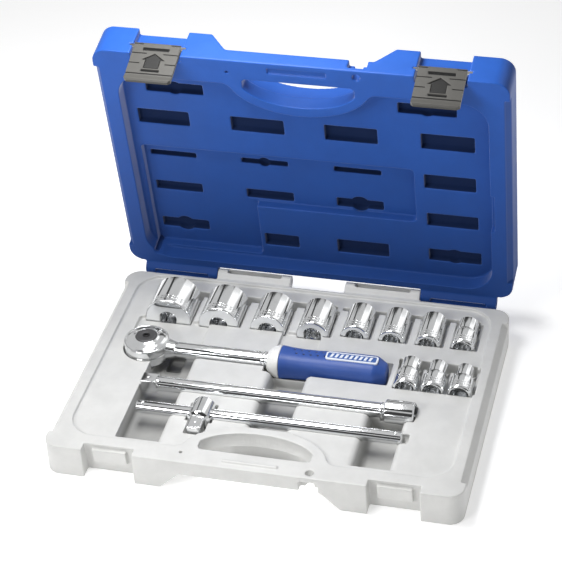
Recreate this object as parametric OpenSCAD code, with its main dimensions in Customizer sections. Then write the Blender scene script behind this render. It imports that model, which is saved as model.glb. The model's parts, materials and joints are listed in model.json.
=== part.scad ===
// Socket wrench set in a hinged plastic case: eleven half-inch-drive sockets, a reversible ratchet,
// an extension bar and a sliding T-bar lie in a moulded tray under a latched lid.
// Millimetres. X runs to the right, Y to the back (hinge side), Z up. Origin: centre of the flat underside.

/* [Case] */
// Width of the case, side to side
case_w = 370; // [364:1:400]
// Depth of the case, front edge to back edge
case_d = 262; // [260:1:274]
// Height of the lower shell, underside to rim
base_h = 32; // [31:0.5:38]
// Height of the lid shell, rim to top
lid_h = 34; // [32:0.5:42]
// Radius of the case's corners seen from above
corner_r = 14; // [8:1:20]
// Wall thickness of the two moulded shells
wall = 2.2; // [1.6:0.1:2.6]
// Step from the rim down to the tray surface
tray_drop = 3; // [2:0.5:4]
// Depth of the lid's inside, rim to inner panel
lid_depth = 14.5; // [14:0.5:16]
// Depth of the lid's inside over the ratchet and the two largest sockets
lid_deep = 23; // [22.5:0.5:26]
// Angle between lid and tray as the case stands open
lid_open = 80; // [60:1:95]
// Distance from the back edge to the hinge pins
hinge_back = 8; // [7.5:0.5:10]

/* [Handle] */
// Width of the hand hole
hand_w = 100; // [90:1:104]
// Depth of the hand hole, front to back
hand_d = 27.5; // [24:0.5:28]
// Thickness of the grip bar in front of the hand hole, front to back
grip_d = 20.5; // [17:0.5:21]
// Height of the grip bar in each shell
grip_h = 15; // [12:0.5:17]

/* [Latches] */
// Width of a latch plate
latch_w = 42; // [36:1:43.5]
// Length of a latch plate from its pin to its lip
latch_l = 41; // [40:0.5:42]
// Inward slope of a fastened latch plate
latch_slope = 9; // [8:0.5:10]
// Distance of the latches from the case's middle
latch_x = 126; // [122:1:128]

/* [Tools] */
// Side of the male drive squares
drive = 12.65; // [12.5:0.05:12.7]
// Side of the female drive squares
drive_hole = 12.9; // [12.85:0.05:13.2]
// Length of the larger sockets
socket_l = 39.5; // [37:0.5:40]
// Length of the extension bar
ext_l = 250; // [240:1:252]
// Diameter of the extension bar's shaft
ext_shaft_d = 13.5; // [12:0.5:15]
// Diameter of the extension bar's female end
ext_end_d = 21; // [20:0.5:22]
// Length of the T-bar's rod
tbar_l = 240; // [230:1:244]
// Diameter of the T-bar's rod
tbar_d = 11.5; // [10.5:0.5:12]
// Diameter of the T-bar's sliding head
slider_d = 21; // [19:0.5:22]
// Diameter of the ratchet's head
head_d = 42; // [40:0.5:44]
// Diameter of the ratchet's shaft
shaft_d = 15; // [13:0.5:16]
// Diameter of the ratchet's grip
grip_dia = 31; // [28:0.5:32]
// Number of teeth on the ratchet's gear
gear_teeth = 36; // [24:4:48]

/* [Clearances] */
// Gap between a tool and its cradle
cradle_gap = 0.3; // [0.25:0.05:0.6]
// Radial gap of a pin or ball in its hole
pin_gap = 0.05; // [0.03:0.01:0.1]
// Gap between the closed shells
seam_gap = 0.3; // [0.2:0.05:0.5]

/* [Hidden] */
eps = 0.01;
front = -case_d / 2;                 // Y of the front edge
tray_z = base_h - tray_drop;         // Z of the tray surface
axis_z = tray_z - 0.5;               // Z of every tool's axis
pivot_y = case_d / 2 + hinge_back;   // Y of the hinge pins
tray_x = 170;                        // half width of the tray's step
lid_x = 166;                         // half width of the lid's inside
pin_r = 1.5;                         // hinge and latch pins
ball_r = 2.2;                        // detent balls
recess_w = 45.5;                     // latch recesses
lug_in = 26;                         // inner end of the lower shell's hinge lugs
lug_mid = 98.3;                      // where a lower lug meets a lid lug
lug_out = 170;                       // outer end of the lid's hinge lugs
lug_r = 5.5;
latch_z = base_h + 12;               // Z of the latch pins, lid shut
latch_y = front + 1.6;               // Y of the latch pins, lid shut

// rows of tools, Y measured from the case's middle
ratchet_y = 22.5;
ext_y = -27.5;
tbar_y = -61.5;
head_x = -135;
grip_x0 = -8;
grip_x1 = 90;
ext_x0 = -ext_l / 2;
ext_x1 = ext_l / 2;
tbar_x0 = -tbar_l / 2 + 0.5;
slider_x = -60;
slider_y0 = -72;                     // face that carries the slider's square
slider_y1 = slider_y0 + 24;
head_bot = 17.5;
head_top = 36;
drive_tip = 4;

// size, X of axis, Y of the drive end, outside diameter, nose diameter, length
sockets = [
    [32, -128, 65.5, 43.5, 43.5, socket_l],
    [27, -79, 65.5, 38, 38, socket_l],
    [24, -32, 65.5, 33, 33, socket_l],
    [22, 10.5, 65.5, 30, 30, socket_l],
    [19, 49.5, 69.5, 26, 26, socket_l - 1],
    [17, 84, 69.5, 24.5, 24.5, socket_l - 1],
    [16, 117.5, 69.5, 23.5, 23.5, socket_l - 1],
    [14, 149.5, 69.5, 22, 19.5, socket_l - 1],
    [13, 109, 4.5, 22, 18.5, socket_l - 1.5],
    [12, 133.5, 4.5, 22, 17.5, socket_l - 1.5],
    [10, 158, 4.5, 22, 15.5, socket_l - 1.5]
];

// blind slots of the lid's inner panel: X from, X to, Y from, Y to, bulge radius, deep panel or not
lid_slots = [
    [-145, -92, -87, -75, 7.5, 0], [84, 136, -87, -75, 7.5, 0],
    [-157, -109, -53, -36, 0, 0], [-70, -21, -53, -36, 0, 0], [16, 64, -53, -35, 0, 0],
    [103, 151, -53, -35, 0, 0],
    [-155, -111, 5, 11, 0, 1], [-68, -24, 5, 11, 5.5, 1], [19, 63, 5, 11, 0, 1],
    [104, 151, -4, 13, 0, 0],
    [-155, -110, 44, 55, 0, 1], [-67, -22, 44, 55, 0, 1], [19, 63, 44, 55, 9, 1],
    [105, 152, 44, 60, 0, 0],
    [-155, -109, 92, 104, 9, 1], [-52, -19, 92, 107, 0, 0], [18, 67, 90, 107, 0, 0],
    [105, 154, 90, 105, 9, 0]
];

grey = [0.83, 0.83, 0.81];
blue = [0.16, 0.28, 0.62];
dark = [0.32, 0.31, 0.29];
chrome = [0.78, 0.79, 0.8];
steel = [0.55, 0.56, 0.58];

// ---------- helpers ----------

// box from one corner to the other
module span(a, b) {
    translate(a) cube([for (i = [0:2]) b[i] - a[i]]);
}

// cylinder along X from x0 to x1
module rod_x(x0, x1, y, z, r, f = 64) {
    translate([x0, y, z]) rotate([0, 90, 0]) cylinder(r = r, h = x1 - x0, $fn = f);
}

// cylinder along Y from y0 to y1
module rod_y(x, y0, y1, z, r, f = 64) {
    translate([x, y0, z]) rotate([-90, 0, 0]) cylinder(r = r, h = y1 - y0, $fn = f);
}

// cone frustum along X
module cone_x(x0, x1, y, z, r0, r1) {
    translate([x0, y, z]) rotate([0, 90, 0]) cylinder(r1 = r0, r2 = r1, h = x1 - x0, $fn = 64);
}

// rectangle with rounded corners, given by its two corners
module plan_rect(a, b, r) {
    translate([a[0] + r, a[1] + r]) offset(r = r, $fn = 48)
        square([b[0] - a[0] - 2 * r, b[1] - a[1] - 2 * r]);
}

// turns something drawn with the lid shut into the open pose
module opened() {
    translate([0, pivot_y, base_h]) rotate([-lid_open, 0, 0]) translate([0, -pivot_y, -base_h])
        children();
}

// turns something drawn with its latch plate upright into the fastened latch's slope
module sloped() {
    translate([0, latch_y, latch_z]) rotate([latch_slope, 0, 0]) translate([0, -latch_y, -latch_z])
        children();
}

// small close-wound spring standing on the origin, of the given number of turns
module coil(r, h, turns) {
    w = h / turns / 1.92;
    for (i = [0:turns - 1]) translate([0, 0, h * (i + 0.5) / turns])
        rotate_extrude($fn = 48) translate([r, 0]) circle(r = w, $fn = 24);
}

// ---------- outlines seen from above ----------

module case_plan(inset = 0) {
    plan_rect([-case_w / 2 + inset, front + inset], [case_w / 2 - inset, -front - inset],
        corner_r - inset);
}

// D-shaped hand hole, straight side to the front
module hand_plan(grow = 0) {
    offset(r = 4 + grow, $fn = 32) offset(delta = -4) intersection() {
        translate([0, front + grip_d]) scale([hand_w / 2 + 4, hand_d]) circle(r = 1, $fn = 96);
        translate([-hand_w / 2, front + grip_d]) square([hand_w, hand_d]);
    }
}

// rounded bump of the tray and lid steps around the hand hole
module arch_plan(y0) {
    translate([0, front + 20]) scale([64, hand_d + 10.5]) circle(r = 1, $fn = 96);
    translate([-60, y0 - 20]) square([120, 20]);
}

// inside outline of the tray or lid step
module step_plan(half, y0, y1) {
    offset(r = 10, $fn = 32) offset(delta = -10) offset(r = -16, $fn = 32) offset(delta = 16)
    difference() {
        plan_rect([-half, y0], [half, y1], 25);
        arch_plan(y0);
    }
}

// region under the grip bar that is cut away for the fingers
module finger_plan() {
    hand_plan(5);
    translate([-90, front - 5]) square([180, grip_d + 7]);
}

// outline from the front of a gap h high between feet: w wide at the bar, v wide past the feet, S-shaped
module gap_outline(w, v, h) {
    offset(r = -6, $fn = 32) offset(delta = 6) offset(r = 5, $fn = 32) offset(delta = -5)
        polygon([[-w, h], [w, h], [v, -1], [200, -1], [200, -20], [-200, -20], [-200, -1], [-v, -1]]);
}

// cut under (or over) the grip bar, S-shaped towards the feet
module finger_cut(z0) {
    intersection() {
        translate([0, 0, z0 - 1]) linear_extrude(height = base_h - grip_h + 1) finger_plan();
        translate([0, -front, z0]) rotate([90, 0, 0]) linear_extrude(height = case_d + 20)
            gap_outline(62, 81, base_h - grip_h);
    }
}

// hollow side grips: bevel along the rim between the corners
module side_bevels() {
    for (s = [-1, 1]) translate([s * case_w / 2, case_d / 2 - 20, base_h]) rotate([90, 0, 0])
        linear_extrude(height = case_d - 40)
        polygon([[-s * 5, 1], [-s * 5, -1], [0, -7], [s * 2, -7], [s * 2, 1]]);
}

// padlock eye: notch in the grip bar and a hole through the tab that is left
module padlock_cut(z0, z1) {
    span([44.5, front - 1, z0], [61, front + 6.5, z1]);
    translate([52.7, front + 7.5, base_h - 20]) cylinder(r = 3.6, h = 40, $fn = 48);
}

// ---------- case ----------

// half-round cradle with straight sides above the axis, along Y
module cradle_y(x, y0, y1, r) {
    rod_y(x, y0, y1, axis_z, r + cradle_gap, 96);
    span([x - r - cradle_gap, y0, axis_z], [x + r + cradle_gap, y1, base_h + 5]);
}

// half-round cradle with straight sides above the axis, along X
module cradle_x(x0, x1, y, r) {
    rod_x(x0, x1, y, axis_z, r + cradle_gap, 96);
    span([x0, y - r - cradle_gap, axis_z], [x1, y + r + cradle_gap, base_h + 5]);
}

// cradles of the sockets, with a finger gap on the right of each
module socket_cuts() {
    for (s = sockets) {
        r = s[3] / 2;
        y0 = s[2] - 0.6;
        y1 = s[2] + s[5] + 0.6;
        cradle_y(s[1], y0, y1, r);
        span([s[1], y0, axis_z - 4], [s[1] + r + 2.8, y1, base_h + 5]);
    }
    // finger slot behind the four largest sockets, and the shallow ones behind the rest
    span([-149, 104.5, 12], [25, 112.5, base_h + 5]);
    span([30, 107.5, 20], [160, 112, base_h + 5]);
    span([97, 40.5, 16], [168, 47, base_h + 5]);
}

// finger channels across the bars, seen from above
module left_channel() { plan_rect([-126, -105], [-82.5, 38.5], 1); }
module mid_channel() { plan_rect([-19.5, -75], [24.5, 9], 1); }
module right_channel() { plan_rect([79.5, -104], [122.5, -30], 1); }
module front_of_large() { plan_rect([-155, 36], [-87, 67], 3); }
module front_of_fourth() { plan_rect([-17, 36], [20, 67], 3); }

module prism(z0) {
    translate([0, 0, z0]) linear_extrude(height = base_h + 5 - z0) children();
}

// one flank of a finger channel: rounded brow, leaning wall, hollow at the foot
function flank(x, s, z) = [
    for (t = [0:15:90]) [x + s * 6 * sin(t), tray_z - 6 * (1 - cos(t))],
    for (t = [0:30:90]) [x + s * (11 - 4 * cos(t)), z + 4 * (1 - sin(t))]
];
function upright(x, s, z) = [
    [x, tray_z], for (t = [0:30:90]) [x + s * (4.6 - 4 * cos(t)), z + 4 * (1 - sin(t))]
];
function backwards(v) = [for (i = [len(v) - 1:-1:0]) v[i]];

// finger channel cut from above, from its floor, with a rounded brow on one side or on both
module channel(x0, x1, y0, y1, z, brow) {
    left = brow > 0 ? upright(x0, 1, z) : flank(x0, 1, z);
    translate([0, y1, 0]) rotate([90, 0, 0]) linear_extrude(height = y1 - y0) polygon(concat(
        [[x0, base_h + 5]], left, backwards(flank(x1, -1, z)), [[x1, base_h + 5]]));
}

module tray_pockets() {
    socket_cuts();
    channel(-126, -82.5, -105, 38.5, 10, 1);
    channel(-19.5, 24.5, -75, 9, 9, 0);
    channel(79.5, 122.5, -104, -30, 9, 0);
    // well under the ratchet's neck
    translate([0, 0, wall + 1.3]) linear_extrude(height = 20) plan_rect([-116, 12], [-102.5, 36], 3);
    prism(tray_z - 4) front_of_large();
    prism(tray_z - 4) front_of_fourth();
    // ratchet: head, square drive, shaft, collar and grip
    translate([head_x, ratchet_y, head_bot - 0.3]) cylinder(r = head_d / 2 + 1.2, h = 40, $fn = 96);
    translate([head_x, ratchet_y, wall + 0.4]) cylinder(r = 11, h = 30, $fn = 64);
    cradle_x(head_x, grip_x0, ratchet_y, shaft_d / 2 + 1);
    cradle_x(grip_x0 - 14, grip_x1 + 2.5, ratchet_y, grip_dia / 2 + 0.1);
    // extension bar and its female end
    cradle_x(ext_x0 - 0.8, ext_x1 - 25, ext_y, ext_shaft_d / 2);
    cradle_x(ext_x0 - 0.8, ext_x0 + 17, ext_y, drive / sqrt(2));
    cradle_x(ext_x1 - 31, ext_x1 + 0.8, ext_y, ext_end_d / 2);
    // T-bar rod, sliding head and its square
    cradle_x(tbar_x0 - 0.8, tbar_x0 + tbar_l + 5.5, tbar_y, tbar_d / 2);
    cradle_y(slider_x, slider_y0 - 0.6, slider_y1 + 0.6, slider_d / 2 + 1.5);
    span([slider_x - 9, slider_y0 - 17.5, axis_z - 9], [slider_x + 9, slider_y0, base_h + 5]);
}

// room taken up from above, grown by one wall, so the sealed space inside the shell stays clear of it
module pocket_plan() {
    offset(delta = wall) {
        left_channel();
        mid_channel();
        right_channel();
        front_of_large();
        front_of_fourth();
        hand_plan(6);
        translate([-84, front]) square([168, 36]);
        translate([head_x, ratchet_y]) circle(r = head_d / 2 + 1.2, $fn = 64);
        translate([head_x, ratchet_y - 9]) square([grip_x0 - head_x, 18]);
        translate([grip_x0 - 14, ratchet_y - 17]) square([grip_x1 - grip_x0 + 18, 34]);
        translate([ext_x0 - 2, ext_y - 11]) square([ext_l + 4, 22]);
        translate([tbar_x0 - 2, tbar_y - 7]) square([tbar_l + 8, 14]);
        translate([slider_x - 12, slider_y0 - 18]) square([24, 43]);
        translate([-152, 64]) square([312 + 4, 50]);
        translate([94, 2.5]) square([77, 46]);
        for (s = [-1, 1]) translate([s * latch_x - 26, front]) square([52, 16]);
    }
}

// the same for the deepest pockets only
module deep_pocket_plan() {
    offset(delta = wall) {
        left_channel();
        mid_channel();
        right_channel();
        hand_plan(6);
        translate([-84, front]) square([168, 36]);
        translate([head_x, ratchet_y]) circle(r = 11, $fn = 64);
        translate([-152, 64]) square([180, 50]);
        for (s = [-1, 1]) translate([s * latch_x - 26, front]) square([52, 16]);
    }
}

// steps of a latch recess in the lower shell, with the catch block left standing in it
module base_latch_recess(s) {
    translate([s * latch_x, front, 0]) difference() {
        translate([-recess_w / 2, 0, 0]) rotate([90, 0, 90]) linear_extrude(height = recess_w)
            polygon([[-5, -1], [13, -1], [9, base_h + 1], [-5, base_h + 1]]);
        translate([-15.5, 0, 0]) rotate([90, 0, 90]) linear_extrude(height = 31)
            polygon([[8, 13.2], [14, 12], [14, 28], [5.7, 28]]);
    }
}

module base_lugs() {
    for (s = [-1, 1]) difference() {
        hull() {
            rod_x(s > 0 ? lug_in : -lug_mid + 0.15, s > 0 ? lug_mid - 0.15 : -lug_in, pivot_y,
                base_h, lug_r, 48);
            span([s > 0 ? lug_in : -lug_mid + 0.15, -front - 3, base_h - 12],
                [s > 0 ? lug_mid - 0.15 : -lug_in, -front - 2, base_h - 4]);
        }
        rod_x(-200, 200, pivot_y, base_h, pin_r + pin_gap, 48);
        translate([s * (lug_in + lug_mid) / 2 - 26.5, pivot_y - 2.6, 0]) cube([53, 5.2, 80]);
    }
}

module base_shell() {
    color(grey) difference() {
        union() {
            difference() {
                linear_extrude(height = base_h) case_plan();
                // step down to the tray
                translate([0, 0, tray_z]) linear_extrude(height = 10)
                    step_plan(tray_x, front + 21, -front - 3.5);
                tray_pockets();
                side_bevels();
                translate([0, 0, -eps]) linear_extrude(height = 100) hand_plan();
                finger_cut(0);
                padlock_cut(-1, base_h - 5);
                for (s = [-1, 1]) base_latch_recess(s);
                // slim relief slots over the catches, and a locating hole
                for (s = [-1, 1]) span([s * latch_x - 6.5, front + 9.6, base_h - 2],
                    [s * latch_x + 6.5, front + 11.2, base_h + 1]);
                translate([-62.5, front + 13.5, base_h - 4]) cylinder(r = 1.5, h = 5, $fn = 32);
                // sealed air spaces between the moulded walls, in two layers with a web between
                translate([0, 0, wall + 8]) linear_extrude(height = tray_z - 2 * wall - 8) difference() {
                    case_plan(wall + 3);
                    pocket_plan();
                }
                translate([0, 0, wall]) linear_extrude(height = 7) difference() {
                    case_plan(wall + 3);
                    deep_pocket_plan();
                }
            }
            // low rib that enters the lid's slot
            span([-24, front + 7, base_h - 1], [24, front + 10, base_h + 1.4]);
            base_lugs();
        }
        translate([0, 0, base_h]) rod_x(-200, 200, pivot_y, 0, pin_r + pin_gap, 48);
    }
}

module lid_lugs() {
    for (s = [-1, 1]) difference() {
        hull() {
            rod_x(s > 0 ? lug_mid + 0.15 : -lug_out, s > 0 ? lug_out : -lug_mid - 0.15, pivot_y,
                base_h, lug_r, 48);
            span([s > 0 ? lug_mid + 0.15 : -lug_out, -front - 3, base_h + 4],
                [s > 0 ? lug_out : -lug_mid - 0.15, -front - 2, base_h + 12]);
        }
        rod_x(-200, 200, pivot_y, base_h, pin_r + pin_gap, 48);
        translate([s * (lug_out + lug_mid) / 2 - 26.5, pivot_y - 2.6, 0]) cube([53, 5.2, 80]);
    }
}

// deeper part of the lid's inside, over the ratchet and the two largest sockets
module deep_plan() {
    offset(r = 4, $fn = 24) offset(delta = -4) {
        translate([-160, -8]) square([104, 128]);
        translate([-160, -8]) square([255, 65]);
    }
}

module lid_slot_plan(v) {
    translate([v[0], v[2]]) square([v[1] - v[0], v[3] - v[2]]);
    if (v[4] > 0) translate([(v[0] + v[1]) / 2, (v[2] + v[3]) / 2]) circle(r = v[4], $fn = 48);
}

// room in the lid's side wall for the outermost small socket
module side_relief() { translate([150, 2]) square([19.6, 44]); }

// sealed space from a height up to the lid's top skin, clear of slots, latches, grip bar and children
module lid_void(z0) {
    translate([0, 0, z0]) linear_extrude(height = base_h + lid_h - wall - z0) difference() {
        case_plan(wall + 4);
        offset(delta = wall) {
            children();
            for (v = lid_slots) lid_slot_plan(v);
            hand_plan(6);
            side_relief();
            translate([-90, front]) square([180, 36]);
            for (s = [-1, 1]) translate([s * latch_x - 26, front]) square([52, 12]);
        }
    }
}

module lid_shell_shut() {
    top = base_h + lid_h;
    difference() {
        union() {
            difference() {
                translate([0, 0, base_h + seam_gap]) linear_extrude(height = lid_h - seam_gap)
                    case_plan();
                translate([0, 0, base_h - 1]) linear_extrude(height = lid_depth + 1)
                    step_plan(lid_x, front + 27, -front - 8);
                translate([0, 0, base_h]) linear_extrude(height = lid_deep) deep_plan();
                translate([0, 0, base_h - 1]) linear_extrude(height = 10) side_relief();
                for (v = lid_slots) translate([0, 0, base_h + (v[5] > 0 ? lid_deep : lid_depth) - 1])
                    linear_extrude(height = 7) lid_slot_plan(v);
                translate([0, 0, 2 * base_h]) mirror([0, 0, 1]) side_bevels();
                linear_extrude(height = 100) hand_plan();
                finger_over(base_h + lid_h);
                padlock_cut(base_h + 5, top + 1);
                for (s = [-1, 1]) {
                    // latch recess through the front wall
                    span([s * latch_x - recess_w / 2, front - 1, base_h - 1],
                        [s * latch_x + recess_w / 2, front + 7.5, top + 1]);
                    rod_x(s * latch_x - recess_w / 2 - 3, s * latch_x + recess_w / 2 + 3, latch_y,
                        latch_z, pin_r + pin_gap, 48);
                }
                // slot that takes the lower shell's rib, and a locating hole
                span([-26, front + 5.5, base_h - 1], [26, front + 11.5, base_h + 2.5]);
                translate([-62.5, front + 13.5, base_h - 1]) cylinder(r = 1.5, h = 5, $fn = 32);
                // sealed air spaces between the moulded walls
                lid_void(base_h + 4) step_plan(lid_x, front + 27, -front - 8);
                lid_void(base_h + lid_depth + wall) deep_plan();
                lid_void(base_h + lid_deep + wall) square(1);
            }
            lid_lugs();
        }
        rod_x(-200, 200, pivot_y, base_h, pin_r + pin_gap, 48);
    }
}

// cut over the lid's grip bar, S-shaped like the one under the lower shell's
module finger_over(top) {
    intersection() {
        translate([0, 0, base_h + grip_h]) linear_extrude(height = lid_h) finger_plan();
        translate([0, -front, top]) rotate([90, 0, 0]) linear_extrude(height = case_d + 20)
            mirror([0, 1]) gap_outline(66, 83, lid_h - grip_h);
    }
}

module lid_shell() {
    color(blue) opened() lid_shell_shut();
}

module hinge_pin(s) {
    color(steel) rod_x(s > 0 ? lug_in + 2 : -lug_out + 2, s > 0 ? lug_out - 2 : -lug_in - 2, pivot_y,
        base_h, pin_r, 48);
}
module hinge_pin_left() { hinge_pin(-1); }
module hinge_pin_right() { hinge_pin(1); }

// latch plate drawn upright below its pin: Y outward is negative, Z down to the lip
module latch(s) {
    color(dark) opened() sloped() translate([s * latch_x, latch_y, latch_z]) difference() {
        union() {
            rod_x(-latch_w / 2, latch_w / 2, 0, 0, 3.2, 48);
            span([-latch_w / 2, -1.9, -latch_l + 4], [latch_w / 2, 1.1, 0]);
            // bevelled lip with chamfered ends
            translate([-latch_w / 2, 0, 0]) rotate([90, 0, 90]) linear_extrude(height = latch_w)
                polygon([[-1.9, -latch_l + 5], [-3.4, -latch_l + 1], [-2.6, -latch_l],
                    [0.4, -latch_l], [1.1, -latch_l + 5]]);
            // hook that closes under the catch block
            translate([-14.5, 0, 0]) rotate([90, 0, 90]) linear_extrude(height = 29)
                polygon([[0, -latch_l + 4], [1.1, -latch_l + 3], [3.8, -latch_l + 6],
                    [3.8, -latch_l + 8], [0, -latch_l + 8]]);
        }
        rod_x(-30, 30, 0, 0, pin_r + pin_gap, 48);
        // slots and grip grooves
        span([-11.8, -5, -6.4], [11.8, 0.5, -3.2]);
        span([-8.2, -5, -30.05], [8.2, 0.5, -27.55]);
        span([-30, -3, -33.15], [30, -1.3, -32.05]);
        for (v = [[-10.05, 7.5], [-21.25, 11.5]]) for (a = [-1, 1])
            span([a > 0 ? v[1] : -30, -3, v[0]], [a > 0 ? 30 : -v[1], -1.3, v[0] + 0.9]);
        // sunk arrow
        translate([0, -1.35, 0]) rotate([90, 0, 0]) linear_extrude(height = 2)
            polygon([[-10, -16.4], [0, -9.6], [10, -16.4], [6.6, -16.4], [6.6, -25.8], [-6.6, -25.8],
                [-6.6, -16.4]]);
        for (a = [-1, 1]) translate([a * latch_w / 2, 0, -latch_l]) rotate([0, 45, 0])
            cube([3.6, 20, 3.6], center = true);
    }
}
module latch_left() { latch(-1); }
module latch_right() { latch(1); }

module latch_pin(s) {
    color(steel) opened() rod_x(s * latch_x - recess_w / 2 - 2.5, s * latch_x + recess_w / 2 + 2.5,
        latch_y, latch_z, pin_r, 48);
}
module latch_pin_left() { latch_pin(-1); }
module latch_pin_right() { latch_pin(1); }

// ---------- sockets ----------

// twelve-point opening across the given flats
module twelve_point(af) {
    for (a = [0, 30]) rotate(a) circle(d = af / cos(30), $fn = 6);
}

// a socket lying along Y with its square drive to the front
module socket(i) {
    s = sockets[i];
    r = s[3] / 2;
    n = s[4] / 2;
    l = s[5];
    step = n < r - 0.3 ? 21 : l - 1.2;
    color(chrome) translate([s[1], s[2], axis_z]) rotate([-90, 0, 0]) difference() {
        rotate_extrude($fn = 96) polygon(n < r - 0.3
            ? [[0, 0], [r - 1.4, 0], [r - 0.6, 1.4], [r, 1.8], [r, step - 2], [n + 0.2, step], [n, step + 0.5],
                [n, l - 1], [n - 0.8, l], [0, l]]
            : [[0, 0], [r - 1.6, 0], [r - 0.7, 1.6], [r, 2.0], [r, l - 1.2], [r - 1, l], [0, l]]);
        // square drive with a lead-in, and its detent dimple
        translate([0, 0, -1]) linear_extrude(height = 17) offset(r = 0.6, $fn = 16) offset(delta = -0.6)
            square(drive_hole, center = true);
        translate([0, 0, -eps]) cylinder(r1 = 8.6, r2 = 6.5, h = 2.1, $fn = 64);
        translate([0, 0, 8]) rotate([90, 0, 0]) cylinder(r = 2.4, h = 8.2, $fn = 32);
        // working end
        translate([0, 0, l - 16]) linear_extrude(height = 20) twelve_point(s[0] + 0.2);
        translate([0, 0, l - 1.5]) cylinder(r1 = s[0] / 2 / cos(30) - 0.6, r2 = s[0] / 2 / cos(30) + 0.5,
            h = 1.6, $fn = 64);
        // relief bore between the two
        translate([0, 0, 15]) cylinder(r = min(s[0] / 2 - 0.5, 6), h = l - 30, $fn = 48);
    }
}
module socket_32() { socket(0); }
module socket_27() { socket(1); }
module socket_24() { socket(2); }
module socket_22() { socket(3); }
module socket_19() { socket(4); }
module socket_17() { socket(5); }
module socket_16() { socket(6); }
module socket_14() { socket(7); }
module socket_13() { socket(8); }
module socket_12() { socket(9); }
module socket_10() { socket(10); }

// ---------- ratchet ----------

gear_r = 13.6;
neck_x = head_x + head_d / 2 - 3;

module ratchet_body() {
    color(chrome) translate([0, ratchet_y, 0]) difference() {
        union() {
            translate([head_x, 0, 0]) rotate_extrude($fn = 96) polygon([[0, head_bot],
                [head_d / 2 - 3, head_bot], [head_d / 2, head_bot + 3], [head_d / 2, head_top - 1],
                [head_d / 2 - 1, head_top], [0, head_top]]);
            cone_x(neck_x - 5, neck_x + 10, 0, axis_z - 1.7, 8.9, 5.8);
            rod_x(neck_x + 3.5, -22.9, 0, axis_z, shaft_d / 2);
            cone_x(-23.02, -20, 0, axis_z, shaft_d / 2 + 1.2, shaft_d / 2 - 0.5);
            rod_x(-21, grip_x1 - 12, 0, axis_z, 5);
        }
        // well for the gear and the pawl, open at the top
        translate([head_x, 0, head_bot + 4]) cylinder(r = gear_r + 0.4, h = 30, $fn = 96);
        translate([head_x, 0, head_bot - 1]) cylinder(r = 9.4 + pin_gap, h = 30, $fn = 64);
        translate([head_x + gear_r - 1, -5.2, head_bot + 4]) cube([5.6, 10.4, 30]);
    }
}

module ratchet_cover() {
    color(chrome) translate([head_x, ratchet_y, 0]) rotate_extrude($fn = 96)
        polygon([[10.38, head_top + 0.05], [20.6, head_top + 0.05], [20.8, head_top + 0.8],
            [20.2, head_top + 1.6], [19.2, head_top + 1.6], [18.9, head_top + 2.2], [18.2, head_top + 3],
            [14, head_top + 4.2], [11.8, head_top + 4.3], [10.38, head_top + 3.7]]);
}

// reversing disc: knurl-free disc with a stem that reaches the pawl
module ratchet_selector() {
    color(steel) translate([head_x, ratchet_y, 0]) difference() {
        rotate_extrude($fn = 96) polygon([[0, head_top + 0.4], [10.3, head_top + 0.4],
            [10.3, head_top + 5.2], [9.2, head_top + 6.4], [6, head_top + 6.4], [5.2, head_top + 5.6],
            [0, head_top + 5.6]]);
        translate([0, 0, head_top]) cylinder(r = 2 + pin_gap, h = 10, $fn = 48);
        translate([0, 0, head_top + 4]) cylinder(r = 3.6, h = 10, $fn = 48);
        for (a = [0:60:300]) rotate(a) translate([10.6, 0, head_top + 3]) cylinder(r = 0.9, h = 6, $fn = 24);
    }
}

module ratchet_selector_screw() {
    color(steel) translate([head_x, ratchet_y, 0]) difference() {
        union() {
            translate([0, 0, head_top - 1.9]) cylinder(r = 2, h = 6.5, $fn = 48);
            translate([0, 0, head_top + 4.05]) cylinder(r = 3.4, h = 1.9, $fn = 48);
        }
        translate([0, 0, head_top + 3]) cylinder(d = 3.6 / cos(30), h = 4, $fn = 6);
    }
}

// toothed gear with the square drive below it
module ratchet_gear() {
    color(steel) translate([head_x, ratchet_y, 0]) difference() {
        union() {
            translate([0, 0, head_bot + 4.2]) linear_extrude(height = head_top - head_bot - 6.5) difference() {
                circle(r = gear_r, $fn = 96);
                for (i = [0:gear_teeth - 1]) rotate(i * 360 / gear_teeth) translate([gear_r + 0.15, 0])
                    circle(r = 0.95, $fn = 4);
            }
            translate([0, 0, head_bot - 1.2]) cylinder(r = 9.4, h = 10, $fn = 64);
            difference() {
                translate([-drive / 2, -drive / 2, drive_tip]) cube([drive, drive, head_bot - drive_tip]);
                for (a = [0:90:270]) rotate(a) translate([drive / 2, 0, drive_tip]) rotate([0, 45, 0])
                    cube([1.4, 20, 1.4], center = true);
            }
        }
        translate([0, 0, head_top - 8]) cylinder(r = 2, h = 10, $fn = 48);
        translate([0, 5.7, drive_tip + 6.5]) rotate([90, 0, 0])
            cylinder(r = ball_r + pin_gap, h = 20, $fn = 48);
        // groove of the retaining ring
        translate([0, 0, head_bot - 0.75]) difference() {
            cylinder(r = 20, h = 0.4, $fn = 48);
            translate([0, 0, -1]) cylinder(r = 9.0, h = 3, $fn = 64);
        }
    }
}

// pawl, held just clear of the teeth in its side of the well
module ratchet_pawl() {
    color(steel) translate([head_x + gear_r + 0.5, ratchet_y, head_bot + 4.3]) difference() {
        translate([0, -4.6, 0]) cube([3.6, 9.2, head_top - head_bot - 7]);
        translate([-gear_r, 0, -1]) cylinder(r = gear_r + 0.5, h = 30, $fn = 96);
        translate([2.4, 0, 5]) rotate([0, 90, 0]) cylinder(r = 1.5, h = 5, $fn = 32);
    }
}

module ratchet_pawl_spring() {
    color(steel) translate([head_x + gear_r + 2.95, ratchet_y, head_bot + 9.3]) rotate([0, 90, 0])
        coil(1, 1.6, 3);
}

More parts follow.
